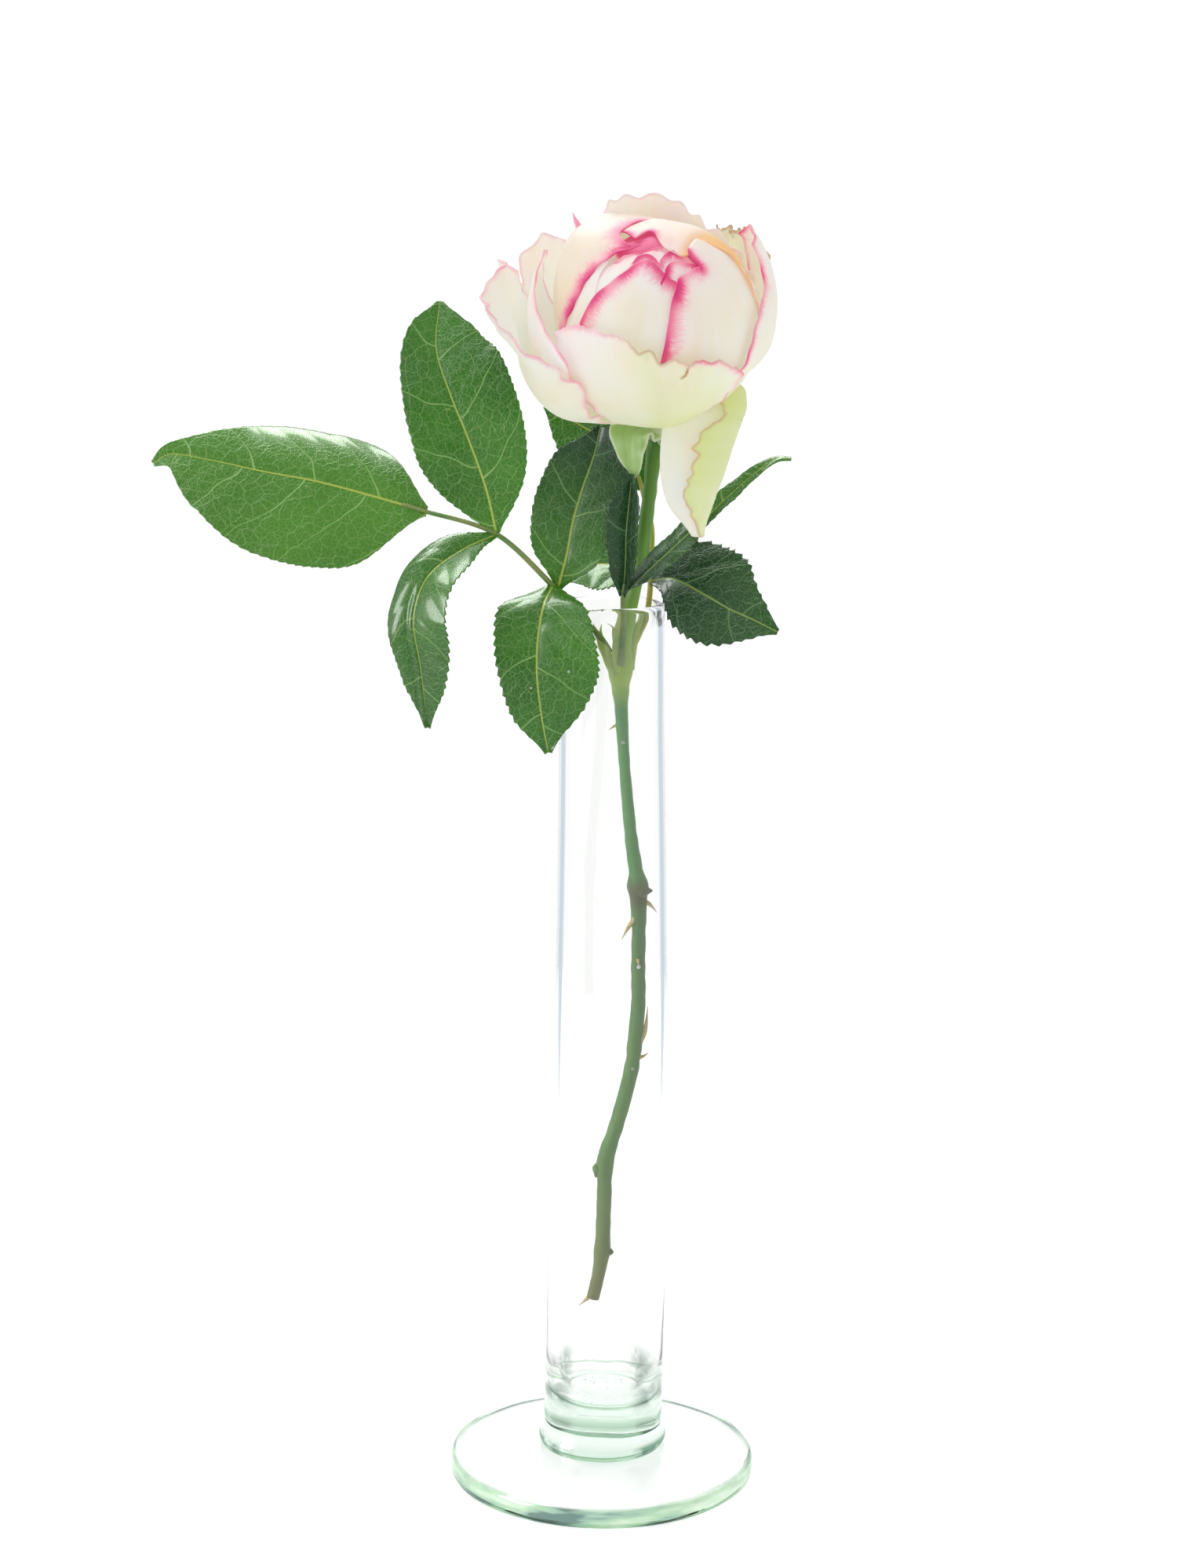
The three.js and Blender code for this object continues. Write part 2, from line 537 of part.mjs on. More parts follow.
const part = new THREE.Group();
part.add(
  namedMesh("vase", vase(), { color: 0xcfe3d6, roughness: 0.04, metalness: 0, transparent: true, opacity: 0.35 }),
  namedMesh("stem", stem(), { color: 0x4f7d3c, roughness: 0.5, metalness: 0 }),
  namedMesh("calyx", calyx(), { color: 0x9fc07a, roughness: 0.55, metalness: 0 }),
  namedMesh("leaf_left", leafLeft(), { color: 0x3f7f35, roughness: 0.35, metalness: 0 }),
  namedMesh("leaf_back", leafBack(), { color: 0x3a6b3a, roughness: 0.35, metalness: 0 }),
  namedMesh("leaf_front", leafFront(), { color: 0x35584a, roughness: 0.35, metalness: 0 }),
  namedMesh("bloom", bloom(), { color: 0xf1e9de, roughness: 0.6, metalness: 0 }),
);

export default part;
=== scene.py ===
# %% [markdown]
# # A cut garden rose in a bud vase
# A single old-fashioned rose, cream with pink margins, leans out of a slim tube of clear glass on a round
# foot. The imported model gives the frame: every piece below is drawn where the frame has it, in metres.

# %% Load the frame
import json
import math

import bpy
import numpy as np
from mathutils import Matrix, Vector

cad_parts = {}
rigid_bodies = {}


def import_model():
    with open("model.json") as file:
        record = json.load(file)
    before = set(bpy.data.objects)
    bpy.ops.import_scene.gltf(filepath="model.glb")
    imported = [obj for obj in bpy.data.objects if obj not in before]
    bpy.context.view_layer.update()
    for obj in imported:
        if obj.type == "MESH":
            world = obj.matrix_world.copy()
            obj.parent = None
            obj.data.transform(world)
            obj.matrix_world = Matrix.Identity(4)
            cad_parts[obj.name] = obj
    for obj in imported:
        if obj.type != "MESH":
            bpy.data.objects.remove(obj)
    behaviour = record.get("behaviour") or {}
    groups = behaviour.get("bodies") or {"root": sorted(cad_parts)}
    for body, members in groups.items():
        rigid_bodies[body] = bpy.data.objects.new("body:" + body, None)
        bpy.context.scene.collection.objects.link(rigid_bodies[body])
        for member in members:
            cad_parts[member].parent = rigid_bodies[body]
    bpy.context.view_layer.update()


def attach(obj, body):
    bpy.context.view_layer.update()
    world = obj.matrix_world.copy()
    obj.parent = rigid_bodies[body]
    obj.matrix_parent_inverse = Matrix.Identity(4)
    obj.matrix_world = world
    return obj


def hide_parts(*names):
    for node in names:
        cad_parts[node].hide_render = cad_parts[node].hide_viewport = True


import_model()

# %% [markdown]
# ## Small helpers
# A plant is all smooth curves, and each one is written as a short list of measurements at even steps, the way
# a loftsman lists offsets. `spread` reads such a list anywhere between its steps.

# %% Reading lists of measurements
MM = 0.001


def spread(values, t):
    """The value at t, from 0 to 1, of a smooth curve through values (numbers or points) at even steps."""
    values = np.atleast_1d(np.asarray(values, float))
    t = np.clip(np.asarray(t, float), 0, 1)
    last = len(values) - 1
    at = t * last
    i = np.minimum(at.astype(int), max(0, last - 1))
    f = at - i
    if values.ndim > 1:
        f = f[..., None]
    a, b, c, d = (values[np.clip(i + k, 0, last)] for k in (-1, 0, 1, 2))
    turn = (c - a) * f + (2 * a - 5 * b + 4 * c - d) * f**2 + (3 * b - a - 3 * c + d) * f**3
    return b + turn / 2


def eased(pairs, t):
    """The value at t of a list of (t, value) pairs, eased from each to the next."""
    pairs = np.asarray(pairs, float)
    t = np.clip(np.asarray(t, float), 0, 1)
    after = np.clip(np.searchsorted(pairs[:, 0], t), 1, len(pairs) - 1)
    (t0, a), (t1, b) = pairs[after - 1].T, pairs[after].T
    f = np.clip((t - t0) / (t1 - t0), 0, 1)
    return a + (b - a) * f * f * (3 - 2 * f)


def step_up(x, low, high):
    """0 below low, 1 above high and a soft step between them."""
    f = np.clip((np.asarray(x, float) - low) / (high - low), 0, 1)
    return f * f * (3 - 2 * f)


def unit(v):
    """Each vector of v at length 1."""
    return v / np.maximum(np.linalg.norm(v, axis=-1, keepdims=True), 1e-12)


print("halfway along 0, 4, 6:", float(spread([0, 4, 6], 0.5)))

# %% [markdown]
# A stalk or a midrib is a smooth route through a few points. The centripetal Catmull-Rom curve goes through
# each of them without loops, and is measured here so that it can be read by its share of length.

# %% Routes through points
def route(points, by_length=True):
    """A smooth curve through points, in mm, as a function of the share of its length, or else of its
    points."""
    p = np.asarray(points, float)
    p = np.vstack([2 * p[0] - p[1], p, 2 * p[-1] - p[-2]])
    fine = []
    for k in range(1, len(p) - 2):
        x0, x1, x2, x3 = p[k - 1:k + 3]
        d0, d1, d2 = (max(1e-4, np.linalg.norm(b - a)) ** 0.5 for a, b in ((x0, x1), (x1, x2), (x2, x3)))
        t1 = ((x1 - x0) / d0 - (x2 - x0) / (d0 + d1) + (x2 - x1) / d1) * d1
        t2 = ((x2 - x1) / d1 - (x3 - x1) / (d1 + d2) + (x3 - x2) / d2) * d1
        w = np.linspace(0, 1, 60, endpoint=False)[:, None]
        fine.append(x1 + t1 * w + (3 * x2 - 3 * x1 - 2 * t1 - t2) * w**2 + (2 * x1 - 2 * x2 + t1 + t2) * w**3)
    fine = np.vstack([*fine, p[-2:-1]])
    length = np.concatenate([[0], np.cumsum(np.linalg.norm(np.diff(fine, axis=0), axis=1))])
    if not by_length:
        length = np.arange(len(fine), dtype=float)

    def at(t):
        where = np.clip(np.asarray(t, float), 0, 1) * length[-1]
        return np.stack([np.interp(where, length, fine[:, k]) for k in range(3)], -1)

    at.length = length[-1]
    return at


def heading(curve, t):
    """The direction that a route runs in at t."""
    t = np.asarray(t, float)
    return unit(curve(t + 0.01) - curve(t - 0.01))


corner = route([(0, 0, 0), (10, 0, 0), (10, 10, 0)])
print("a route round a corner of 10 and 10 mm is", round(float(corner.length), 1), "mm long")


# %% [markdown]
# Nothing on a plant is quite even. `waver` gives a wandering value along a length, with hills of about one
# size, and a seed so that each run of the script draws the same rose.

# %% Unevenness
def waver(x, size, seed):
    """A wandering value, mostly between -1 and 1, along x, with hills about size apart."""
    turn = np.random.default_rng(seed)
    total = np.zeros_like(np.asarray(x, float))
    for _ in range(5):
        total = total + np.sin(x * (2 * np.pi / size) * turn.uniform(0.6, 1.7) + turn.uniform(0, 6.28))
    return total / 2.4


print("waver at 0, 5 and 10 mm:", waver(np.array([0.0, 5.0, 10.0]), 10, 1).round(2))


# %% [markdown]
# ## One way to make every thin or round piece
# A petal, a leaflet and a stalk are all a rectangle of living tissue that has been bent. So each starts as
# Blender's grid primitive, subdivided as finely as its detail needs, and its vertices are laid on the surface
# that a function of (u, v) gives. Solidify then gives the sheet its real thickness. Box modelling with
# subdivision is the usual way to a petal, but it could not carry the measured outlines of this flower as
# directly.

# %% Grids laid on a surface
def deselect():
    for thing in bpy.context.selected_objects:
        thing.select_set(False)


def own(thing, material=None):
    """Names the mesh after its object and gives it its material."""
    thing.data.name = thing.name
    if material:
        thing.data.materials.append(material)
    return thing


def modifier(thing, kind, **settings):
    """Adds a modifier with its settings and applies it."""
    bpy.context.view_layer.objects.active = thing
    made = thing.modifiers.new(kind.title(), kind)
    for name, value in settings.items():
        setattr(made, name, value)
    bpy.ops.object.modifier_apply(modifier=made.name)


def edit(thing, *steps):
    """Runs mesh operators on all of one object in edit mode. Each step is an operator or (operator,
    settings)."""
    deselect()
    thing.select_set(True)
    bpy.context.view_layer.objects.active = thing
    bpy.ops.object.mode_set(mode="EDIT")
    bpy.ops.mesh.select_all(action="SELECT")
    for step in steps:
        operator, settings = step if isinstance(step, tuple) else (step, {})
        operator(**settings)
    bpy.ops.object.mode_set(mode="OBJECT")


def sheet(name, surface, across, rows, maps=None, paints=None):
    """A grid laid on surface(u, v) in mm, u from -1 to 1 and v from 0 to 1. maps: UV maps by name, as (u, v)
    arrays a vertex. paints: attributes that the material reads, by name, each four values a vertex."""
    deselect()
    bpy.ops.mesh.primitive_grid_add(x_subdivisions=across, y_subdivisions=rows, size=2, calc_uvs=True)
    made = bpy.context.object
    made.name = name
    mesh = made.data
    flat = np.zeros(len(mesh.vertices) * 3)
    mesh.vertices.foreach_get("co", flat)
    u, v = flat[0::3], (flat[1::3] + 1) / 2
    place = surface(u, v)
    mesh.vertices.foreach_set("co", (place * MM).ravel())
    corner = np.zeros(len(mesh.loops), int)
    mesh.loops.foreach_get("vertex_index", corner)
    for label, make in (maps or {}).items():
        pair = np.stack(make(u, v, place), -1)
        layer = mesh.uv_layers.new(name=label)
        layer.data.foreach_set("uv", pair[corner].ravel())
    for label, make in (paints or {}).items():
        four = np.stack([np.zeros_like(u) + value for value in make(u, v, place)], -1)
        layer = mesh.attributes.new(label, "FLOAT_COLOR", "POINT")
        layer.data.foreach_set("color", four.ravel())
    mesh.update()
    return made


def close_seams(thing):
    """Merges the doubled vertices of a seam or a pole and turns every face outward."""
    edit(thing, (bpy.ops.mesh.remove_doubles, {"threshold": 1e-6}),
         (bpy.ops.mesh.normals_make_consistent, {"inside": False}))


def joined(name, pieces):
    """Several objects as one, smooth, with its place in its mesh."""
    deselect()
    for piece in pieces:
        piece.select_set(True)
    bpy.context.view_layer.objects.active = pieces[0]
    if len(pieces) > 1:
        bpy.ops.object.join()
    whole = bpy.context.object
    whole.name = name
    whole.data.name = name
    bpy.ops.object.shade_smooth()
    print(name, "triangles:", sum(len(p.vertices) - 2 for p in whole.data.polygons))
    return whole


# %% [markdown]
# ## Camera
# The photograph was taken from a little above the vase's mouth with a long lens, so upright lines stay nearly
# parallel. The ellipses of the rim and the foot gave the distance, height, pitch and the slight roll. Lengths
# are in millimetres, angles in degrees.

# %% The camera
CAMERA_DISTANCE = 846
CAMERA_HEIGHT = 368
CAMERA_SIDE = -5.8
PITCH = 11.26
ROLL = 0.62
LENS = 72.07

deselect()
bpy.ops.object.camera_add()
camera = bpy.context.object
camera.name = "studio_camera"
camera.data.sensor_width = 36
camera.data.lens = LENS
camera.matrix_world = (
    Matrix.Translation((CAMERA_SIDE * MM, -CAMERA_DISTANCE * MM, CAMERA_HEIGHT * MM))
    @ Matrix.Rotation(math.radians(90 - PITCH), 4, "X")
    @ Matrix.Rotation(math.radians(ROLL), 4, "Z")
)
bpy.context.scene.camera = camera
print("camera at", tuple(round(c, 3) for c in camera.location))

# %% [markdown]
# ## Materials: one helper for colours and one for nodes
# Shaders work with linear light, so colours picked as sRGB hex are turned first. A material could be
# wired by hand in the shader editor; here one helper adds a node, sets it and links it, so that each line
# below reads as one node of that editor.

# %% Colour and node helpers
def colour(code):
    """A colour written as sRGB hex, as the linear value that shaders use."""
    parts = [int(code[k:k + 2], 16) / 255 for k in (1, 3, 5)]
    return (*(p / 12.92 if p <= 0.04045 else ((p + 0.055) / 1.055) ** 2.4 for p in parts), 1.0)


def add_node(tree, kind, inputs=None, stops=None, **settings):
    """Adds a node. inputs: by socket, a value, a colour as hex, an output, or a node for its first output.
    stops: (place, grey or hex colour) pairs of a colour ramp."""
    made = tree.nodes.new(kind)
    for name, value in settings.items():
        setattr(made, name, value)
    for socket, value in (inputs or {}).items():
        if isinstance(value, bpy.types.Node):
            value = value.outputs[0]
        if isinstance(value, bpy.types.NodeSocket):
            tree.links.new(value, made.inputs[socket])
        else:
            made.inputs[socket].default_value = colour(value) if isinstance(value, str) else value
    if stops:
        ramp = made.color_ramp.elements
        while len(ramp) < len(stops):
            ramp.new(0.5)
        for element, (place, value) in zip(ramp, stops):
            element.position = place
            element.color = colour(value) if isinstance(value, str) else (value, value, value, 1)
    return made


def new_material(name):
    """An empty material, its node tree and its output node."""
    material = bpy.data.materials.new(name)
    material.use_nodes = True
    tree = material.node_tree
    tree.nodes.clear()
    return material, tree, tree.nodes.new("ShaderNodeOutputMaterial")


print("middle grey in linear light:", round(colour("#808080")[0], 3))


# %% [markdown]
# ## Studio
# The rose stands on a white table before a white backdrop, so brightly lit that both burn out. Clear glass is
# seen only by what it bends, so what surrounds it matters as much as the glass. Photographers stand dark
# flags just out of the picture, and thick glass draws them as dark lines along its rim and walls. Flags could
# be planes, but a world shader holds backdrop and flags without adding a thing to the scene. It reads how far
# a direction turns about the upright axis, -1 behind the camera and 1 at the backdrop's middle, so the flags
# are upright strips.

# %% Backdrop and flags
world = bpy.data.worlds.new("white_studio")
bpy.context.scene.world = world
world.use_nodes = True
sky = world.node_tree
sky.nodes.clear()
sky_place = add_node(sky, "ShaderNodeTexCoord")
sky_split = add_node(sky, "ShaderNodeSeparateXYZ", {0: sky_place.outputs["Generated"]})
sky_flat = add_node(sky, "ShaderNodeVectorMath", {0: add_node(
    sky, "ShaderNodeCombineXYZ", {0: sky_split, 1: sky_split.outputs[1]})}, operation="NORMALIZE")
sky_turn = add_node(sky, "ShaderNodeSeparateXYZ", {0: sky_flat})
sky_share = add_node(sky, "ShaderNodeMapRange", {0: sky_turn.outputs[1], 1: -1.0, 2: 1.0})
# From behind the camera to the backdrop. The flags, from 0.85 to 0.955, stand 22 to 46 degrees off its
# middle. Below the horizon they are pale, so that the thin wall of the tube is drawn by a faint blue-grey
# line alone.
TURNS = (0.0, 0.42, 0.66, 0.83, 0.85, 0.93, 0.955, 0.97)
HIGH_TONES = ("#E4E4E3", "#DCDCDB", "#F2F2F2", "#FBFBFB", "#52625D", "#52625D", "#84918D", "#FFFFFF")
LOW_TONES = ("#F4F4F3", "#F4F4F3", "#FFFFFF", "#FFFFFF", "#C6D2DC", "#C6D2DC", "#D4DEE4", "#FFFFFF")
high_sky, low_sky = (add_node(sky, "ShaderNodeValToRGB", {0: sky_share}, stops=list(zip(TURNS, tones)))
                     for tones in (HIGH_TONES, LOW_TONES))
above = add_node(sky, "ShaderNodeMapRange", {0: sky_split.outputs[2], 1: -0.04, 2: 0.04})
backdrop = add_node(sky, "ShaderNodeMix", {0: above, 6: low_sky, 7: high_sky}, data_type="RGBA")
print("world ramps of", len(TURNS), "stops")

# %% [markdown]
# Behind the camera a low strip of the room is darker. The foot's edge and the neck mirror it, and without it
# they would be lost against the white.

# %% Dim room behind the camera
behind = add_node(sky, "ShaderNodeMapRange", {0: sky_split.outputs[1], 1: -0.9, 2: -0.75, 3: 1.0, 4: 0.0},
                  interpolation_type="SMOOTHSTEP")
low = add_node(sky, "ShaderNodeValToRGB", {0: add_node(
    sky, "ShaderNodeMapRange", {0: sky_split.outputs[2], 1: -0.5, 2: 0.5})},
    stops=[(0.46, 0.0), (0.5, 1.0), (0.68, 1.0), (0.76, 0.0)])
room = add_node(sky, "ShaderNodeMath", {0: behind, 1: low}, operation="MULTIPLY")
roomed = add_node(sky, "ShaderNodeMix", {0: room, 6: backdrop.outputs[2], 7: "#7E8885"}, data_type="RGBA")
sky_light = add_node(sky, "ShaderNodeBackground", {0: roomed.outputs[2], 1: 1.03})
add_node(sky, "ShaderNodeOutputWorld", {0: sky_light})
print("world nodes:", len(sky.nodes))

# %% [markdown]
# The table is a plain white plane, and a glow lifts it close to the burnt-out white of the photograph. It
# ends behind the vase, because the tube's edge bends the sight line past that end to the pale flags; an
# endless floor would leave the edges of the glass invisible.

# %% Table
TABLE_WIDTH, TABLE_DEPTH, TABLE_BACK = 0.56, 0.66, 0.19
deselect()
bpy.ops.mesh.primitive_plane_add(size=1, location=(0, TABLE_BACK, -0.0002))
floor = bpy.context.object
floor.scale = (TABLE_WIDTH, TABLE_DEPTH, 1)
floor.name = "studio_floor"
bpy.ops.object.transform_apply(location=True, scale=True)
table_paint, tree, out = new_material("matt_white_table")
table = add_node(tree, "ShaderNodeBsdfPrincipled", {
    "Base Color": "#B4B5B5", "Roughness": 0.7, "Emission Color": "#FFFFFF", "Emission Strength": 0.71})
tree.links.new(table.outputs[0], out.inputs[0])
own(floor, table_paint)
print("table", TABLE_WIDTH, "by", TABLE_DEPTH, "m")

# %% [markdown]
# One broad soft light from the upper left models the petals. Two strips, one overhead and one upright on the
# left, are seen only by glossy surfaces: they lay the wax sheen on the leaves and change nothing else, as a
# photographer's grazing strip light does.

# %% Lights
# Name, place in metres, width, length, power, height aimed at, and whether only gloss sees it
LIGHTS = [
    ("soft_key", (-0.3, 0.2, 1.0), 0.8, 0.5, 1.6, 0.28, False),
    ("gloss_strip", (-0.2, 0.25, 0.9), 0.9, 0.35, 16.0, 0.28, True),
    ("gloss_side_strip", (-0.8, -0.36, 0.34), 0.4, 0.6, 13.0, 0.27, True),
]
for name, place, width, length, power, aim, gloss_only in LIGHTS:
    deselect()
    bpy.ops.object.light_add(type="AREA", location=place)
    light = bpy.context.object
    light.name = name
    light.data.shape = "RECTANGLE"
    light.data.size, light.data.size_y = width, length
    light.data.energy = power
    light.rotation_euler = (light.location - Vector((0, 0, aim))).to_track_quat("Z", "Y").to_euler()
    light.visible_diffuse = light.visible_transmission = not gloss_only
    print(name, power, "W")
bpy.context.scene.view_settings.view_transform = "Standard"

# %% [markdown]
# ## The glass vase
# Real bud vases like this are drawn and tooled by hand from clear soda-lime glass: a thick round foot, a
# solid plug under the hollow tube and a fire-polished lip. It could be a lathed line with a solidify
# modifier, but the wall isn't equally thick: the plug is solid and the floor of the tube is a bowl with a
# small kick. So one closed profile, up the outside, over the lip and down the inside, is spun about the axis.
# That gives the glass its true thickness everywhere, which refraction needs.

# %% Spin the vase
VASE_HEIGHT, FOOT_RADIUS, FOOT_THICKNESS = 250, 43.2, 5.8
NECK_RADIUS, TUBE_LOW, TUBE_HIGH = 17.4, 16.7, 14.5
WALL, LIP_RADIUS, PLUG_TOP, KICK_HEIGHT, TUBE_BOW = 1.7, 1.45, 24, 2, 1.2


def bend(points, count=10):
    """Points of a Bezier curve of any degree, its first left out."""
    points = np.asarray(points, float)
    t = np.linspace(0, 1, count + 1)[1:, None]
    rows = [points[k][None] * np.ones_like(t) for k in range(len(points))]
    while len(rows) > 1:
        rows = [a + (b - a) * t for a, b in zip(rows, rows[1:])]
    return [tuple(p) for p in rows[0]]


lip_height, lip_at = VASE_HEIGHT - LIP_RADIUS, TUBE_HIGH - LIP_RADIUS
outline = [(0, 0), (FOOT_RADIUS - 6, 0), (FOOT_RADIUS - 1.2, 0)]
outline += bend([outline[-1], (FOOT_RADIUS - 0.1, 0), (FOOT_RADIUS - 0.1, 1.2)], 6)
outline += bend([outline[-1], (FOOT_RADIUS + 0.05, 2.6), (FOOT_RADIUS - 0.2, 4.2)], 5)
outline += bend([outline[-1], (FOOT_RADIUS - 0.4, FOOT_THICKNESS), (FOOT_RADIUS - 2.6, FOOT_THICKNESS)], 6)
outline += [(32, FOOT_THICKNESS + 0.3), (NECK_RADIUS + 3.5, FOOT_THICKNESS + 0.9)]
# A small collar, where the plug was welded to the foot, bulges over a shallow waist
outline += bend([outline[-1], (NECK_RADIUS - 0.6, FOOT_THICKNESS + 1),
                 (NECK_RADIUS - 0.3, FOOT_THICKNESS + 2.6)], 7)
outline += bend([outline[-1], (NECK_RADIUS + 1.6, FOOT_THICKNESS + 5),
                 (TUBE_LOW + 0.2, FOOT_THICKNESS + 7.2)], 8)
outline += [(TUBE_LOW, FOOT_THICKNESS + 9)]
outline += [(TUBE_LOW, 24), (TUBE_LOW, 38), (TUBE_LOW, PLUG_TOP + 30)]
outline += bend([outline[-1], (TUBE_LOW - 0.3, 110), (TUBE_HIGH + 0.5, 170), (TUBE_HIGH, 215)], 16)
outline += [(TUBE_HIGH, 232), (TUBE_HIGH, lip_height)]
outline += [(lip_at + LIP_RADIUS * math.cos(a), lip_height + LIP_RADIUS * math.sin(a))
            for a in np.radians(np.arange(15, 181, 15))]
outline += [(TUBE_HIGH - WALL - 0.35, lip_height - 2), (TUBE_HIGH - WALL, lip_height - 5),
            (TUBE_HIGH - WALL, 215)]
outline += bend([outline[-1], (TUBE_HIGH + 0.5 - WALL, 170), (TUBE_LOW - 0.3 - WALL, 110),
                 (TUBE_LOW - WALL, PLUG_TOP + 30)], 16)
outline += [(TUBE_LOW - WALL - 0.1, PLUG_TOP + 13)]
outline += bend([outline[-1], (TUBE_LOW - WALL - 0.3, PLUG_TOP + 2), (TUBE_LOW - WALL - 3, PLUG_TOP - 0.5),
                 (7.5, PLUG_TOP)], 14)
outline += bend([outline[-1], (5.5, PLUG_TOP + 0.2), (5, PLUG_TOP + KICK_HEIGHT),
                 (0, PLUG_TOP + KICK_HEIGHT)], 8)

deselect()
bpy.ops.mesh.primitive_circle_add(vertices=len(outline), radius=0.1)
vase = bpy.context.object
vase.name = "glass_vase"
for vertex, (x, z) in zip(vase.data.vertices, outline):
    vertex.co = (x * MM, 0, z * MM)
vase.data.update()
edit(vase, (bpy.ops.mesh.spin, {"steps": 144, "angle": math.tau, "center": (0, 0, 0), "axis": (0, 0, 1)}),
     (bpy.ops.mesh.remove_doubles, {"threshold": 1e-6}),
     (bpy.ops.mesh.dissolve_degenerate, {"threshold": 1e-7}))
on_axis = [e.index for e in vase.data.edges if all(
    abs(vase.data.vertices[k].co.x) + abs(vase.data.vertices[k].co.y) < 1e-7 for k in e.vertices)]
print("edges left on the axis:", len(on_axis))

# %% [markdown]
# The spin leaves one edge along the axis, inside the glass, which would refract light as a wall. It is
# deleted before the faces are turned out. Then the vertices are moved one by one, as no tool gives this: the
# foot's edge, the collar and the tube's floor waver by a few tenths of a millimetre, and the drawn tube bows
# a little to one side.

# %% Clean axis, waver and bow
deselect()
vase.select_set(True)
bpy.context.view_layer.objects.active = vase
bpy.ops.object.mode_set(mode="EDIT")
bpy.ops.mesh.select_mode(type="EDGE")
bpy.ops.mesh.select_all(action="DESELECT")
bpy.ops.object.mode_set(mode="OBJECT")
for k in on_axis:
    vase.data.edges[k].select = True
bpy.ops.object.mode_set(mode="EDIT")
bpy.ops.mesh.delete(type="EDGE")
bpy.ops.mesh.select_mode(type="VERT")
bpy.ops.mesh.select_all(action="SELECT")
bpy.ops.mesh.normals_make_consistent(inside=False)
bpy.ops.object.mode_set(mode="OBJECT")
WAVER_TOP, WAVER_FADE = 40, 20
PLATE_FROM, PLATE_ABOVE = 18, 3
for vertex in vase.data.vertices:
    x, y, z = vertex.co / MM
    turn, out_by = math.atan2(y, x), math.hypot(x, y)
    low = 1 - np.clip((z - WAVER_TOP) / WAVER_FADE, 0, 1)
    sway = math.sin(2 * turn + 0.11 * z) + 0.7 * math.sin(5 * turn + 1.3)
    sway += 0.25 * math.sin(9 * turn + 0.3 * z)
    push = low * sway * (0.1 if out_by > TUBE_LOW - 0.5 else 0.16 * np.clip(out_by / 8, 0, 1))
    if out_by > 0.5:
        vertex.co.x += push * MM * x / out_by
        vertex.co.y += push * MM * y / out_by
    if out_by > PLATE_FROM and z > PLATE_ABOVE:
        vertex.co.z += 0.1 * MM * (math.sin(5 * turn + 0.3 * out_by) + math.sin(11 * turn + 2))
for vertex in vase.data.vertices:
    share = np.clip((vertex.co.z / MM - FOOT_THICKNESS) / (VASE_HEIGHT - FOOT_THICKNESS), 0, 1)
    vertex.co.x += TUBE_BOW * MM * math.sin(math.pi * min(1, share * 1.03))
bpy.ops.object.shade_smooth()
print("vase faces", len(vase.data.polygons))

# %% [markdown]
# Hand-made glass traps seed bubbles where it was gathered, here under the kick of the tube's floor. A bubble
# is a small hollow, so each is an ico sphere with its faces flipped to look away from the glass, joined into
# the vase.

# %% Seed bubbles
BUBBLES = 16
seeds = np.random.default_rng(5)
bubbles = []
for _ in range(BUBBLES):
    turn, away = seeds.uniform(0, math.tau), 5.2 * math.sqrt(seeds.uniform(0.05, 1))
    deselect()
    bpy.ops.mesh.primitive_ico_sphere_add(subdivisions=2, radius=seeds.uniform(0.2, 0.42) * MM, location=(
        away * math.cos(turn) * MM, away * math.sin(turn) * MM, (PLUG_TOP - seeds.uniform(0.6, 1.6)) * MM))
    bubble = bpy.context.object
    bpy.ops.object.transform_apply(location=True)
    edit(bubble, (bpy.ops.mesh.flip_normals, {}))
    bpy.ops.object.shade_smooth()
    bubbles.append(bubble)
vase = joined("glass_vase", [vase] + bubbles)
print("bubbles", len(bubbles))

# %% [markdown]
# ## Glass
# Soda-lime glass is colourless in the thin wall of the tube and green where light goes far through it: along
# the foot's edge, in the collar and around the tube's floor, the green of iron in the sand. Absorption in the
# volume alone could give it, but when it is strong enough for the edges, the whole vase turns green. So a
# weak absorption is helped by a tint of the surface where the glass is seen edge on; along the foot's edge
# that tint runs in strips whose darkest are a painted reflection of the dark room. Shallow drawing marks,
# waves about 9 mm across that run up the tube, come from a noise that is stretched along it.

# %% Where the glass looks green
glass, tree, out = new_material("clear_soda_lime_glass_hand_drawn")
place = add_node(tree, "ShaderNodeTexCoord")
across = add_node(tree, "ShaderNodeSeparateXYZ", {0: place.outputs["Object"]})
flat = add_node(tree, "ShaderNodeCombineXYZ", {0: across, 1: across.outputs[1]})
radius = add_node(tree, "ShaderNodeVectorMath", {0: flat}, operation="LENGTH")
edge_on = add_node(tree, "ShaderNodeMapRange", {0: radius.outputs["Value"], 1: 0.0412, 2: 0.0426, 3: 0.0,
                                                4: 1.0})
# Heights from 0 to 50 mm: the foot, the collar at 7 to 13 mm and the floor of the tube at 24
height = add_node(tree, "ShaderNodeMapRange", {0: across.outputs[2], 1: 0.0, 2: 0.05})
thick = add_node(tree, "ShaderNodeValToRGB", {0: height},
    stops=[(0.13, "#FFFFFF"), (0.19, "#A3C4AC"), (0.26, "#EEF6F0"), (0.36, "#C6DCCB"),
           (0.46, "#F4F9F5"), (0.52, "#FFFFFF")])
# The foot's edge: strips of the glass's own green, the darkest of them a painted reflection of the dark room
along_edge = add_node(tree, "ShaderNodeMapping", {0: place.outputs["Object"], "Scale": (1, 1, 5)})
uneven = add_node(tree, "ShaderNodeTexNoise", {0: along_edge, "Scale": 42.0, "Detail": 3.0})
strips = add_node(tree, "ShaderNodeValToRGB", {0: uneven},
                  stops=[(0.4, "#2A4840"), (0.46, "#67967A"), (0.54, "#82B482"), (0.66, "#BBDDB8")])
print("green strips around the foot from", FOOT_RADIUS - 2, "mm out")
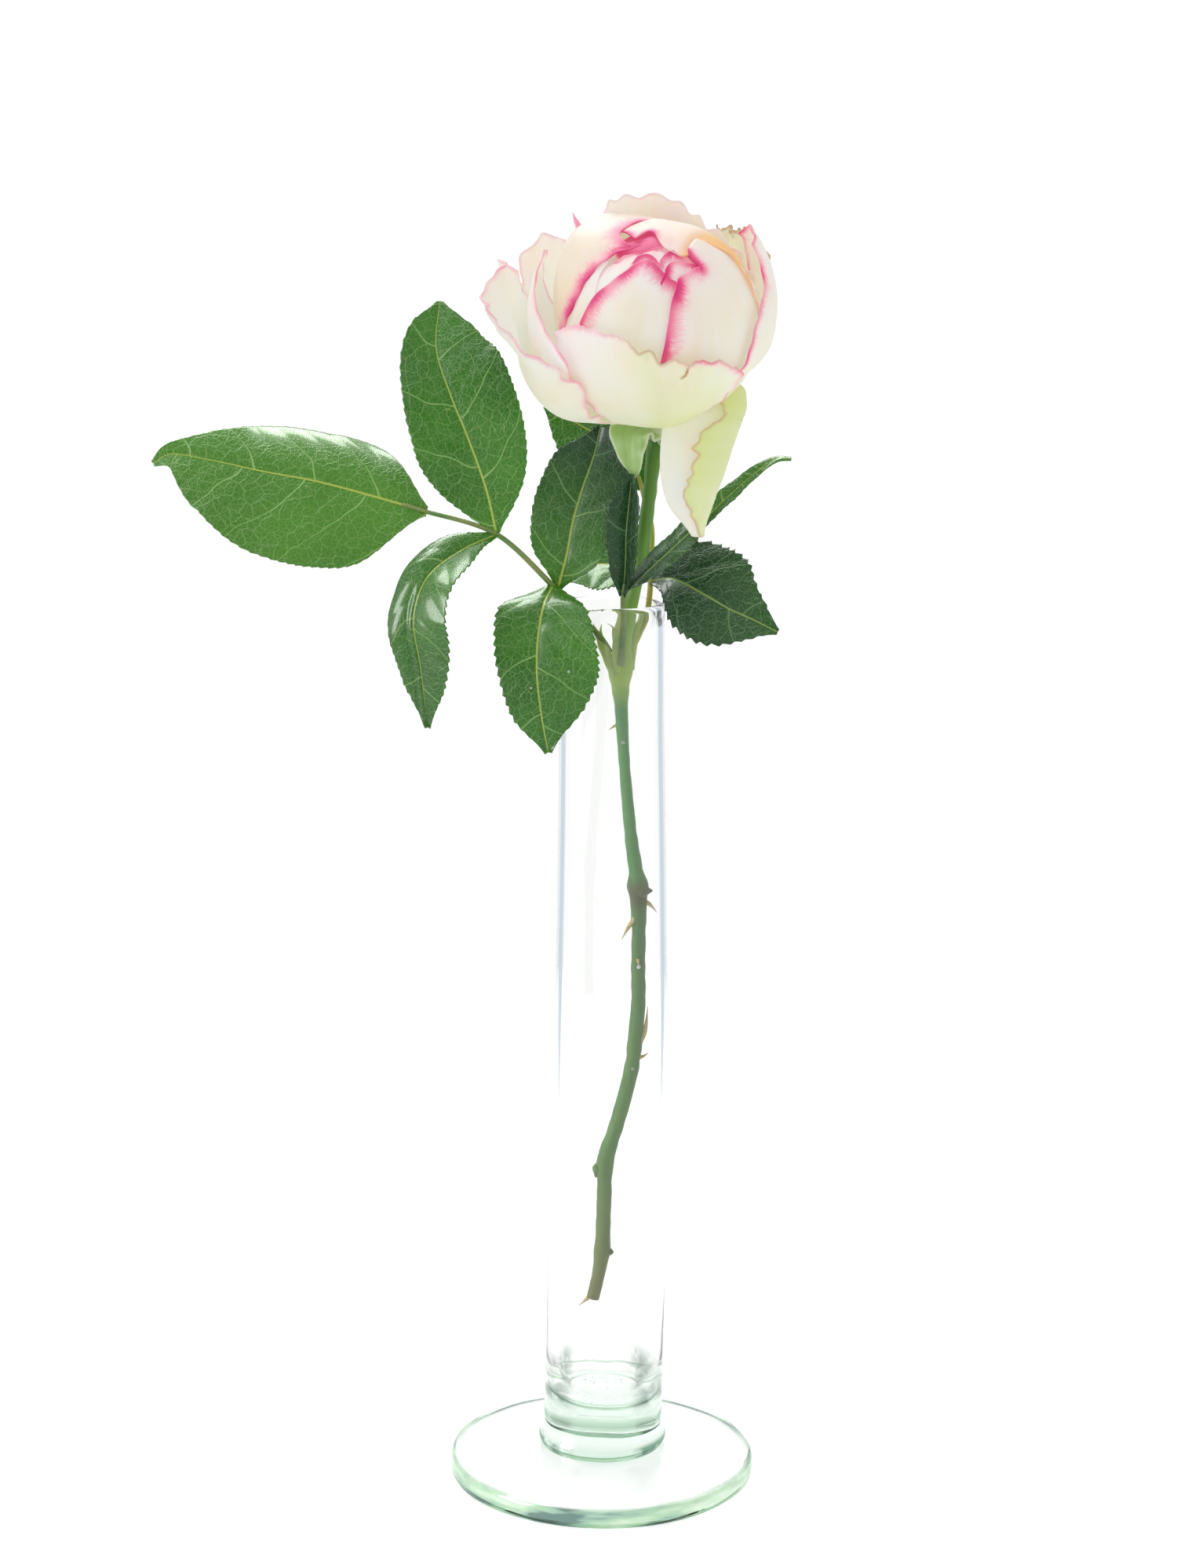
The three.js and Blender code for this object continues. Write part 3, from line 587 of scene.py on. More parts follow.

# %% [markdown]
# At both sides of the collar and of the tube's floor, as the camera sees them, the sight line runs along the
# glass, and dark green is painted there in uneven patches: partly the green of that long path, partly a
# painted reflection of the dark flags. Three masks are multiplied: how far to the side, which heights, and a
# coarse noise.

# %% Side patches and the glass itself
sideways = add_node(tree, "ShaderNodeMapRange", {0: add_node(
    tree, "ShaderNodeMath", {0: across}, operation="ABSOLUTE"), 1: 0.007, 2: 0.012},
    interpolation_type="SMOOTHSTEP")
heights = add_node(tree, "ShaderNodeValToRGB", {0: height}, stops=[
    (0.165, 0.0), (0.185, 1.0), (0.225, 1.0), (0.245, 0.0), (0.45, 0.0), (0.49, 0.85), (0.58, 0.7),
    (0.68, 0.0)])
patchy = add_node(tree, "ShaderNodeTexNoise", {0: place.outputs["Object"], "Scale": 190.0, "Detail": 3.0})
patchy_sharp = add_node(tree, "ShaderNodeMapRange", {0: patchy, 1: 0.34, 2: 0.5})
# Painted reflection: the dark green at the sides stands partly for the flags mirrored in the glass
wedge_of_green_and_painted_reflection = add_node(tree, "ShaderNodeMath", {0: sideways, 1: heights}, operation="MULTIPLY")
patchy_green_and_painted_reflection = add_node(tree, "ShaderNodeMath", {0: wedge_of_green_and_painted_reflection, 1: patchy_sharp}, operation="MULTIPLY")
with_green_and_painted_reflection = add_node(tree, "ShaderNodeMix", {0: patchy_green_and_painted_reflection, 6: thick, 7: "#2A5C43"},
                  data_type="RGBA")
seen = add_node(tree, "ShaderNodeMix", {0: edge_on, 6: with_green_and_painted_reflection.outputs[2], 7: strips},
                data_type="RGBA")
stretch = add_node(tree, "ShaderNodeMapping", {0: place.outputs["Object"], "Scale": (1, 1, 0.18)})
drawn = add_node(tree, "ShaderNodeTexNoise", {0: stretch, "Scale": 110.0, "Detail": 1.0})
ripple = add_node(tree, "ShaderNodeBump", {"Height": drawn, "Strength": 0.006, "Distance": 0.001})
clear = add_node(tree, "ShaderNodeBsdfPrincipled", {
    "Base Color": seen.outputs[2], "Roughness": 0.0, "IOR": 1.5, "Transmission Weight": 1.0,
    "Normal": ripple})
tint = add_node(tree, "ShaderNodeVolumeAbsorption", {"Color": "#9FD3AE", "Density": 4.0})
tree.links.new(clear.outputs[0], out.inputs[0])
tree.links.new(tint.outputs[0], out.inputs["Volume"])
own(vase, glass)
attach(vase, "root")
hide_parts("vase")
print("glass nodes:", len(tree.nodes))

# %% [markdown]
# ## The stem
# A rose stem is a round green shoot with a swelling at each node, a few thorns and buds, and a woody cut end.
# It is laid as a tube along its measured route, with its radius listed by share of length, in the same way as
# the frame has it but with enough steps for the swellings to be smooth.

# %% Stalks
def tube(name, points, radii, steps, sides=20, bumps=0.0, seed=1):
    """A closed round stalk through points in mm; radii are (share of length, radius) pairs."""
    curve = route(points)

    def surface(u, v):
        t = np.clip((v - 0.012) / 0.976, 0, 1)
        way = heading(curve, t)
        side = unit(np.cross(way, np.array([0.2, 1.0, 0.3])))
        up = np.cross(side, way)
        turn = np.pi * u[:, None]
        cap = np.sqrt(np.clip(1 - (np.clip(np.maximum(0.012 - v, v - 0.988), 0, 1) / 0.012) ** 2, 0, 1))
        radius = eased(radii, t) * cap * (1 + bumps * waver(t * curve.length, 7, seed))
        end = way * (np.where(v < 0.5, -1, 1) * (1 - cap) * 0.4 * eased(radii, t))[:, None]
        return curve(t) + end + (side * np.cos(turn) + up * np.sin(turn)) * radius[:, None]

    made = sheet(name, surface, sides, steps, {"along": lambda u, v, place: (u * 3, v * curve.length)})
    close_seams(made)
    return made


STEM_ROUTE = [
    (11.1, 2, 293.2), (9.4, 1, 275.7), (7.5, 0.4, 261), (5.6, 0, 251.6), (3.6, 0, 240), (2.6, 0, 231.5),
    (2.9, 0.4, 222), (3.9, 1, 206.7), (5, 1.5, 195), (6.3, 2, 183.4), (8.3, 2.4, 170), (8.7, 2.5, 158),
    (8.7, 2.5, 146.8), (8.9, 2.5, 137.7), (8.2, 2.2, 128.7), (7.4, 2, 119.6), (5.4, 1.5, 110.4),
    (2.9, 1, 101.2), (0.2, 0, 92.2), (-0.1, -0.5, 82), (-0.3, -0.5, 72.7), (-0.5, -0.4, 65.5),
    (-1.5, 0, 58), (-3, 0, 51)]
STEM_RADII = [
    (0, 2.2), (0.05, 1.9), (0.2, 1.95), (0.225, 2.2), (0.252, 3.6), (0.275, 2.4), (0.3, 1.8), (0.36, 1.55),
    (0.43, 1.7), (0.485, 2), (0.505, 3), (0.53, 2.3), (0.56, 2), (0.7, 2.1), (0.805, 2.1), (0.83, 2.5),
    (0.86, 2.1), (0.92, 2.1), (0.94, 2.4), (0.965, 1.9), (1, 1.8)]
# Thorns and buds: start inside the stem, middle, tip, and radius at the start
SPURS = [
    ((9, 2.4, 166.8), (11.8, 1.8, 165.4), (13.9, 1.4, 163.2), 1.3),
    ((8, 2, 162), (5.8, 0.8, 159.2), (3.9, -0.4, 156), 1.3),
    ((8.2, 2.4, 150), (8.5, 0, 149.7), (8.6, -2.2, 148.6), 1.0),
    ((3.4, 0.8, 216.5), (1.4, 0.5, 216), (-0.4, 0.2, 214.8), 1.0),
    ((8, 2.2, 124), (10.6, 1.9, 128.5), (11.6, 1.8, 136.5), 1.6),
    ((7.6, 2, 121), (10, 1.8, 121.6), (12, 1.7, 122.8), 1.2),
    ((-1.8, 0, 53.5), (-4.8, 0, 50.6), (-7.1, 0, 48.4), 1.5)]
KNOBS = [((6.4, 1.2, 169.5), (12.4, 1.2, 169.5), 2.2), ((-2.6, -0.4, 86.9), (-1.6, -0.4, 92), 1.5),
         ((1.1, -0.5, 63.4), (1.3, -0.5, 66.6), 1.6)]

stalks = [tube("stem_rod", STEM_ROUTE, STEM_RADII, 300, 28, 0.035)]
thorns = [tube(f"thorn_{number}", [root, middle, tip], [(0, radius), (0.3, radius * 0.5), (1, 0.1)], 24, 12)
          for number, (root, middle, tip, radius) in enumerate(SPURS)]
for number, (low, high, radius) in enumerate(KNOBS):
    middle = [(a + b) / 2 for a, b in zip(low, high)]
    stalks.append(tube(f"knob_{number}", [low, middle, high], [(0, 0.4), (0.5, radius), (1, 0.4)], 16, 14))
print("stem pieces:", len(stalks), "thorns and buds:", len(thorns))

# %% [markdown]
# The skin of a young rose shoot is smooth and waxy, with fine streaks along it and brown where a bud sat. The
# colour changes with height: blue-green below the neck, yellow-green at its node and olive at the cut end. A
# colour ramp over the height in Object coordinates follows that without any painting, and a noise drawn out
# along the stem gives the streaks.

# %% Green bark
STEM_FOOT, STEM_HEAD = 0.045, 0.300
bark, tree, out = new_material("waxy_green_rose_bark")
place = add_node(tree, "ShaderNodeTexCoord")
height = add_node(tree, "ShaderNodeSeparateXYZ", {0: place.outputs["Object"]})
level = add_node(tree, "ShaderNodeMapRange", {0: height.outputs[2], 1: STEM_FOOT, 2: STEM_HEAD})
# Streaks 0.5 mm wide and 12 mm long
grain = add_node(tree, "ShaderNodeMapping", {0: place.outputs["Object"], "Scale": (1, 1, 0.06)})
streak = add_node(tree, "ShaderNodeTexNoise", {0: grain, "Scale": 900.0, "Detail": 3.0})
tone = add_node(tree, "ShaderNodeValToRGB", {0: level}, stops=[
    (0.0, "#6E5A38"), (0.08, "#52602C"), (0.2, "#38702C"), (0.462, "#2C6830"),
    (0.476, "#2C1D12"), (0.49, "#3A2A18"), (0.505, "#2F7A3C"), (0.69, "#3A8A4E"),
    (0.72, "#A9CC55"), (0.78, "#8CBC48"), (0.86, "#5F9A3A"), (1.0, "#4A8030")])
pale = add_node(tree, "ShaderNodeMix", {0: 0.35, 6: tone, 7: "#9DBB5A"}, data_type="RGBA")
skin = add_node(tree, "ShaderNodeMix", {0: streak, 6: tone, 7: pale.outputs[2]}, data_type="RGBA")
relief = add_node(tree, "ShaderNodeBump", {"Height": streak, "Strength": 0.25, "Distance": 0.0002})
wax = add_node(tree, "ShaderNodeBsdfPrincipled", {
    "Base Color": skin.outputs[2], "Roughness": 0.42, "Subsurface Weight": 0.08, "Subsurface Scale": 0.001,
    "Normal": relief})
tree.links.new(wax.outputs[0], out.inputs[0])
print(bark.name, "nodes:", len(tree.nodes))

# %% [markdown]
# Thorns and buds dry out to a pale tan while the bark under them is still green, so they get a material of
# their own before all the stalks are joined into one piece, as they are grown as one.

# %% Thorns and the whole stem
thorn_skin, tree, out = new_material("dry_tan_rose_thorn")
place = add_node(tree, "ShaderNodeTexCoord")
grain = add_node(tree, "ShaderNodeTexNoise", {0: place.outputs["Object"], "Scale": 700.0, "Detail": 3.0})
tan = add_node(tree, "ShaderNodeValToRGB", {0: grain}, stops=[(0.35, "#A8A060"), (0.65, "#C9B57C")])
dry = add_node(tree, "ShaderNodeBsdfPrincipled", {"Base Color": tan, "Roughness": 0.5})
tree.links.new(dry.outputs[0], out.inputs[0])
for thing in stalks:
    own(thing, bark)
for thing in thorns:
    own(thing, thorn_skin)
stem = joined("stem_with_thorns", stalks + thorns)
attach(stem, "root")
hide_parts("stem")

# %% [markdown]
# ## Leaf tissue
# A rose leaflet has a waxy dark upper side and a paler matt underside. Its midrib sends out seven or so pairs
# of side veins that bend towards the tip, and between them lies a net of fine veins with cells 3 mm wide. An
# image could be laid over the blade, but drawn with nodes the veins stay sharp however close the camera
# comes. They follow the blade, so they are drawn in a UV map that gives, in millimetres, the distance from
# the midrib and the distance along it. The same measures bend the blade's tissue between the veins in the
# next step.

# %% Leaf materials
# Side veins leave the midrib this far apart, bent forward by VEIN_LEAN * distance ** VEIN_BEND, and those of
# one side start VEIN_SHIFT further along
VEIN_SPACING, VEIN_LEAN, VEIN_BEND, VEIN_SHIFT = 8.5, 0.42, 1.25, 3.6
NET_CELL, FINE_CELL = 3.2, 1.2


def leaf_material(name, upper):
    """Leaf tissue, seen from the waxy upper side or from the pale underside."""
    material, tree, out = new_material(name)
    blade_map = add_node(tree, "ShaderNodeUVMap", uv_map="blade")
    where = add_node(tree, "ShaderNodeSeparateXYZ", {0: blade_map})
    place = add_node(tree, "ShaderNodeTexCoord")
    wobble = add_node(tree, "ShaderNodeTexNoise", {0: blade_map, "Scale": 0.09, "Detail": 1.0})
    off = add_node(tree, "ShaderNodeMath", {0: where}, operation="ABSOLUTE")
    side = add_node(tree, "ShaderNodeMath", {0: where, 1: 0.0}, operation="GREATER_THAN")
    # Side veins leave the midrib at about 50 degrees and bend forward as they go out
    reach = add_node(tree, "ShaderNodeMath", {0: off, 1: VEIN_BEND}, operation="POWER")
    lean = add_node(tree, "ShaderNodeMath", {0: reach, 1: -VEIN_LEAN, 2: where.outputs[1]},
                    operation="MULTIPLY_ADD")
    shift = add_node(tree, "ShaderNodeMath", {0: side, 1: VEIN_SHIFT, 2: lean}, operation="MULTIPLY_ADD")
    bent = add_node(tree, "ShaderNodeMath", {0: wobble, 1: 5.0, 2: shift}, operation="MULTIPLY_ADD")
    lane = add_node(tree, "ShaderNodeMath", {0: bent, 1: VEIN_SPACING}, operation="PINGPONG")
    lane_width = add_node(tree, "ShaderNodeMapRange", {0: off, 1: 0.0, 2: 16.0, 3: 0.2, 4: 0.09})
    lateral = add_node(tree, "ShaderNodeMapRange", {
        0: lane, 1: lane_width, 2: add_node(
            tree, "ShaderNodeMath", {0: lane_width, 1: 1.9}, operation="MULTIPLY"),
        3: 1.0, 4: 0.0}, interpolation_type="SMOOTHSTEP")
    # The midrib tapers from 1 mm wide at the foot; the tone attribute's green channel is the distance from
    # there
    painted = add_node(tree, "ShaderNodeAttribute", attribute_name="tone")
    paint = add_node(tree, "ShaderNodeSeparateColor", {0: painted.outputs["Color"]})
    along = add_node(tree, "ShaderNodeMath", {0: paint.outputs[1], 1: 100.0}, operation="MULTIPLY")
    rib_width = add_node(tree, "ShaderNodeMapRange", {0: along, 1: 0.0, 2: 60.0, 3: 0.3, 4: 0.1})
    midrib = add_node(tree, "ShaderNodeMapRange", {
        0: off, 1: rib_width, 2: add_node(
            tree, "ShaderNodeMath", {0: rib_width, 1: 1.7}, operation="MULTIPLY"),
        3: 1.0, 4: 0.0}, interpolation_type="SMOOTHSTEP")
    # The net: coarse cells, each divided again into fine ones
    drift = add_node(tree, "ShaderNodeTexNoise", {0: blade_map, "Scale": 0.5, "Detail": 1.0})
    bend_net = add_node(tree, "ShaderNodeVectorMath", {
        0: add_node(tree, "ShaderNodeVectorMath", {0: drift.outputs[1], 1: (0.5, 0.5, 0.5)},
                    operation="SUBTRACT"),
        1: (1.6, 1.6, 0.0), 2: blade_map}, operation="MULTIPLY_ADD")
    coarse = add_node(tree, "ShaderNodeTexVoronoi", {"Vector": bend_net, "Scale": 1 / NET_CELL},
                      feature="DISTANCE_TO_EDGE", voronoi_dimensions="2D")
    fine = add_node(tree, "ShaderNodeTexVoronoi", {"Vector": bend_net, "Scale": 1 / FINE_CELL},
                    feature="DISTANCE_TO_EDGE", voronoi_dimensions="2D")
    net = add_node(tree, "ShaderNodeMapRange", {0: coarse, 1: 0.006, 2: 0.04, 3: 0.62, 4: 0.0},
                   interpolation_type="SMOOTHSTEP")
    mesh = add_node(tree, "ShaderNodeMapRange", {0: fine, 1: 0.01, 2: 0.12, 3: 0.3, 4: 0.0},
                    interpolation_type="SMOOTHSTEP")
    thin = add_node(tree, "ShaderNodeMath", {0: net, 1: mesh}, operation="MAXIMUM")
    strong = add_node(tree, "ShaderNodeMath", {0: lateral, 1: 0.85}, operation="MULTIPLY")
    veins = add_node(tree, "ShaderNodeMath", {0: strong, 1: thin}, operation="MAXIMUM")
    # Tissue: broad patches a few centimetres wide and a fine grain
    patch = add_node(tree, "ShaderNodeTexNoise", {0: place.outputs["Object"], "Scale": 45.0, "Detail": 3.0})
    tissue = add_node(tree, "ShaderNodeValToRGB", {0: patch}, stops=[
        (0.3, "#32780C" if upper else "#4A6B4A"), (0.7, "#4C9A16" if upper else "#5E7F5A")])
    # Painted shade and light: leaflets in the shade of the bloom are painted darker and bluer, with duller
    # veins and midrib, and lit ones are painted lighter; the tone attribute's red and blue channels say how
    # much
    painted_light = add_node(tree, "ShaderNodeMix", {
        0: paint.outputs[2], 6: tissue, 7: "#5C9A2C" if upper else "#6A8F55"}, data_type="RGBA")
    painted_shade = add_node(tree, "ShaderNodeMix", {
        0: paint, 6: painted_light.outputs[2], 7: "#14342A" if upper else "#5C7A6A"}, data_type="RGBA")
    vein_tone = add_node(tree, "ShaderNodeMix", {
        0: paint, 6: "#A0D070" if upper else "#8DA77C", 7: "#4B7A52" if upper else "#7F9A78"},
        data_type="RGBA")
    with_net = add_node(tree, "ShaderNodeMix", {
        0: veins, 6: painted_shade.outputs[2], 7: vein_tone.outputs[2]}, data_type="RGBA")
    rib_tone = add_node(tree, "ShaderNodeMix", {
        0: paint, 6: "#C2D65C" if upper else "#A9B97A", 7: "#7FA056" if upper else "#8FA070"},
        data_type="RGBA")
    with_rib = add_node(tree, "ShaderNodeMix", {
        0: midrib, 6: with_net.outputs[2], 7: rib_tone.outputs[2]}, data_type="RGBA")
    # The cells stand up a little between sunken veins
    sunk = add_node(tree, "ShaderNodeMath", {0: veins, 1: midrib}, operation="MAXIMUM")
    relief = add_node(tree, "ShaderNodeBump", {
        "Height": sunk, "Strength": 0.5, "Distance": 0.0003}, invert=upper)
    wax = add_node(tree, "ShaderNodeBsdfPrincipled", {
        "Base Color": with_rib.outputs[2], "Roughness": 0.4 if upper else 0.6, "Specular IOR Level": 0.3,
        "Coat Weight": 0.4 if upper else 0.0, "Coat Roughness": 0.16, "Normal": relief})
    through = add_node(tree, "ShaderNodeBsdfTranslucent", {0: with_rib.outputs[2]})
    both = add_node(tree, "ShaderNodeMixShader", {0: 0.16, 1: wax, 2: through})
    tree.links.new(both.outputs[0], out.inputs[0])
    print(name, "nodes:", len(tree.nodes))
    return material


leaf_upper = leaf_material("rose_leaf_waxy_upper_side", True)
leaf_under = leaf_material("rose_leaf_matt_underside", False)

# %% [markdown]
# ## Leaflets
# Each leaflet is a grid along its midrib. Lists give its half widths, and its margin gets the saw teeth of a
# rose leaf, 2.7 mm apart and pointing to the tip. Between the side veins the tissue bulges up a little, as a
# quilt does. The teeth are in the mesh, not only in a mask, so the outline and its shadow are true from every
# side.

# %% Leaflet
LEAF_THICKNESS = 0.35
TOOTH_SPACING = 2.7


def leaflet(name, rib, face, left, right=None, face_tip=None, fold=8, curl=(0.3, 0.3), waves=0.5,
            teeth_deep=0.8, shade=(0, 0), painted_light=0, turned=0, seed=1, across=44, rows=180):
    """A toothed blade along rib. face is the way its upper side looks, at its foot and (face_tip) at its tip;
    curl how strongly its left and right halves bend down, in 1/50 mm; shade how much painted shade darkens
    it, from foot to tip; painted_light how much painted light lightens it; turned how far its right half
    steps back near the midrib, in mm."""
    curve = route(rib)
    right = right or left
    tip_face = np.asarray(face_tip or face, float)
    foot_face = np.asarray(face, float)
    teeth = max(6, round(curve.length * 1.12 / TOOTH_SPACING))

    def across_at(u, v):
        t = np.clip(v, 0.002, 0.998)
        half = np.where(u < 0, spread(left, t), spread(right, t))
        saw = (t * teeth + np.where(u < 0, 0.35, 0)) % 1
        depth = teeth_deep * step_up(half, 1.5, 5) * np.abs(u) ** 16
        outward = np.clip(half * 0.985 + 0.25 - depth * (1 - np.minimum(saw / 0.8, (1 - saw) / 0.2)), 0.3,
                          None)
        return t, u * outward

    def surface(u, v):
        t, out = across_at(u, v)
        way = heading(curve, t)
        up = foot_face + (tip_face - foot_face) * t[:, None]
        up = unit(up - way * np.sum(up * way, -1, keepdims=True))
        side = np.cross(way, up)
        lean = t * curve.length - VEIN_LEAN * np.abs(out) ** VEIN_BEND
        lane = np.pi * (lean + np.where(out < 0, 0, VEIN_SHIFT)) / VEIN_SPACING
        quilt = 0.28 * np.abs(np.sin(lane)) * step_up(np.abs(out), 0.3, 4)
        wave = waves * waver(t * curve.length, 24, np.full(len(out), seed)) * (np.abs(u) ** 2)
        bending = 50 / np.maximum(np.where(out < 0, curl[0], curl[1]), 0.01)
        rise = np.abs(out) * math.sin(math.radians(fold)) - bending * (1 - np.cos(out / bending))
        rise = rise + quilt + wave
        rise = rise - turned * step_up(out, 0.4, 2.4) * step_up(t, 0.3, 0.5)
        rib_sink = -0.25 * np.exp(-(out / 0.9) ** 2)
        reached = bending * np.sin(out / bending) * math.cos(math.radians(fold))
        return curve(t) + side * reached[:, None] + up * (rise + rib_sink)[:, None]

    made = sheet(name, surface, across, rows, {
        "blade": lambda u, v, place: (across_at(u, v)[1], v * curve.length + 31.7 * seed)},
        {"tone": lambda u, v, place: (shade[0] + (shade[1] - shade[0]) * v, v * curve.length / 100, painted_light,
                                      0)})
    return made


def thicken_leaf(blade):
    """Gives a blade its thickness. Its upper side keeps material slot 0 and its new underside gets slot 1."""
    blade.data.materials.append(leaf_upper)
    blade.data.materials.append(leaf_under)
    deselect()
    blade.select_set(True)
    modifier(blade, "SOLIDIFY", thickness=LEAF_THICKNESS * MM, offset=0, material_offset=1,
             material_offset_rim=0)
    return blade


# %% [markdown]
# The leaf stalks have the same waxy skin as the stem but are too thin to show streaks, so two tones in a soft
# noise are enough. Where one stands in the light it is green, and the one behind the stem is yellow.

# %% Leaf stalks and a leaf's last step
def stalk_material(name, low, high):
    """A leaf stalk: thin waxy skin, green with a flush of another colour."""
    material, tree, out = new_material(name)
    place = add_node(tree, "ShaderNodeTexCoord")
    patch = add_node(tree, "ShaderNodeTexNoise", {0: place.outputs["Object"], "Scale": 160.0, "Detail": 4.0})
    tone = add_node(tree, "ShaderNodeValToRGB", {0: patch}, stops=[(0.35, low), (0.65, high)])
    wax = add_node(tree, "ShaderNodeBsdfPrincipled", {"Base Color": tone, "Roughness": 0.45})
    tree.links.new(wax.outputs[0], out.inputs[0])
    return material


stalk_green = stalk_material("waxy_green_leaf_stalk", "#5F8A3E", "#8C9A56")
stalk_yellow = stalk_material("waxy_yellow_leaf_stalk", "#A9B544", "#C9BE52")
print("stalk materials:", stalk_green.name, stalk_yellow.name)


def finish_leaf(name, node, blades, rods, rod_material, finished=()):
    """Thickens the blades, joins them with the stalks and lets the leaf stand for its node."""
    for blade in blades:
        thicken_leaf(blade)
    for rod in rods:
        own(rod, rod_material)
    leaf = joined(name, [*blades, *rods, *finished])
    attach(leaf, "root")
    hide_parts(node)
    return leaf


# %% [markdown]
# ## The three leaves
# The left leaf climbs out of the tube and carries five leaflets, the back one three, and the front one two.
# The widths of each are listed at even steps along its midrib, in millimetres, left half then right.

# %% The left leaf's five leaflets
left_blades = [
    leaflet("leaf_left_end", [(-49.5, -11.8, 275.4), (-64.7, -15, 280), (-78.7, -18, 283.9),
                              (-92.8, -20, 286.6), (-106.9, -21, 289.6), (-117, -21, 290.8),
                              (-121.3, -21, 288.2)],
            (0.1, -0.93, 0.4), [1, 19, 24, 22.5, 14.5, 0.6], [1, 18, 18, 16, 8.4, 0.6],
            fold=3, curl=(0.2, 2.5), teeth_deep=0.35, painted_light=0.5, seed=1),
    leaflet("leaf_left_up", [(-31.2, -8.9, 269.4), (-33.8, -11, 281.1), (-38.4, -13, 294.4),
                             (-43.4, -13, 306.6), (-47.3, -10, 318.5), (-46.6, -5, 330.8)],
            (0.05, -1, 0.1), [0.8, 6.4, 11, 13.8, 15, 14.4, 13.2, 11.6, 9.4, 6.2, 0.6],
            [0.8, 6, 11, 14, 15.6, 16.6, 16.8, 16.2, 14.2, 10, 0.6], teeth_deep=0.4, shade=(0, 0.3), seed=2),
    leaflet("leaf_left_folded", [(-31, -8.9, 269.2), (-39.9, -14, 265.7), (-49, -20, 259),
                                 (-52.6, -22, 248.8), (-50.9, -20, 234.8), (-49.2, -15, 217.4)],
            (-0.3, -0.9, 0.9), [0.8, 8.6, 11, 11.4, 7.8, 0.6], [0.8, 8.4, 12.4, 10.6, 7, 0.6],
            face_tip=(-0.2, -1, 0.1), fold=24, curl=(0.5, 5.5), turned=1.5, shade=(0.1, 0.45), seed=3),
    leaflet("leaf_left_inner", [(-14.6, -4.4, 254.2), (-12.4, -5.8, 263.3), (-10.8, -6, 272.4),
                                (-8.3, -5, 281.4), (-5.3, -3.2, 290.1), (-3.6, -2.4, 298)],
            (-0.1, -1, 0), [0.8, 9, 11.4, 11.4, 9.4, 0.6], [0.8, 8.6, 11.8, 12.6, 11, 4],
            teeth_deep=0.4, shade=(0, 0.95), painted_light=0.2, seed=4),
    leaflet("leaf_left_low", [(-16, -5.2, 255.2), (-18.4, -13.4, 250.6), (-19.8, -17.2, 241.5),
                              (-19.9, -18.4, 232.7), (-18.6, -17.4, 221.5), (-16.7, -15.4, 211)],
            (-0.25, -0.55, 0.85), [1.4, 12.6, 16.6, 16.6, 11, 0.6], [1.4, 12, 12, 10.2, 7.4, 0.6],
            face_tip=(0, -1, 0.1), fold=2, teeth_deep=0.75, shade=(0, 0.35), seed=5),
]
print("left leaflets:", [blade.name for blade in left_blades])

# %% [markdown]
# The stalk is a tube through the leaflets' feet. At its own foot a rose leaf has a pale sheath that wraps the
# stem and ends in two thin points, the stipules. The sheath is a tube too, the stipules are thinner ones, and
# the wing of one stipule is a small curved sheet.

# %% The left leaf's stalk, sheath and stipules
left_rod = tube("leaf_left_stalk", [
    (-0.6, -0.9, 236.6), (-2.6, -2, 240), (-7.5, -2.8, 246.6), (-10.3, -3.2, 249.9), (-12.7, -3.6, 251.9),
    (-16, -5, 255), (-31.4, -9, 269.4), (-50.4, -12, 275.6), (-56, -13, 277.4)],
    [(0, 1.1), (0.15, 0.8), (1, 0.6)], 160, 14)


def stipule(u, v):
    return np.stack([-1.4 - 6.4 * v + 0.4 * u, -1.8 - 0.6 * v - u * 1.7 * np.sin(0.4 + 2.5 * v),
                     238.2 + 9 * v], -1)


left_wing = sheet("leaf_left_wing", stipule, 8, 20, {"along": lambda u, v, place: (u, v * 9)})
deselect()
modifier(left_wing, "SOLIDIFY", thickness=0.4 * MM, offset=0)
sheath_pale = stalk_material("pale_green_leaf_sheath", "#9DBE55", "#BFD377")
left_sheath = tube("leaf_left_sheath", [(2.8, -1.5, 228.4), (1.2, -1.8, 231), (-0.1, -1.9, 233.4),
                                        (-1.3, -2, 236.2), (-2.9, -2, 239.6), (-3.9, -2.2, 242.4)],
                   [(0, 0.8), (0.25, 1.5), (0.7, 1.3), (1, 0.5)], 60, 16)
left_points = [
    tube("stipule_0", [(-3.3, -2, 240.6), (-4.3, -2, 243.4), (-5, -2, 245.4)],
         [(0, 0.7), (0.5, 0.35), (1, 0.08)], 20, 10),
    tube("stipule_1", [(-2.6, -2, 240.2), (-2.9, -2.2, 243.2), (-2.6, -2.2, 245.2)],
         [(0, 0.6), (0.5, 0.3), (1, 0.08)], 20, 10)]
for thing in [left_sheath, *left_points]:
    own(thing, sheath_pale)
leaf_left = finish_leaf("leaf_left_five_leaflets", "leaf_left", left_blades, [left_rod, left_wing],
                        stalk_green, [left_sheath, *left_points])
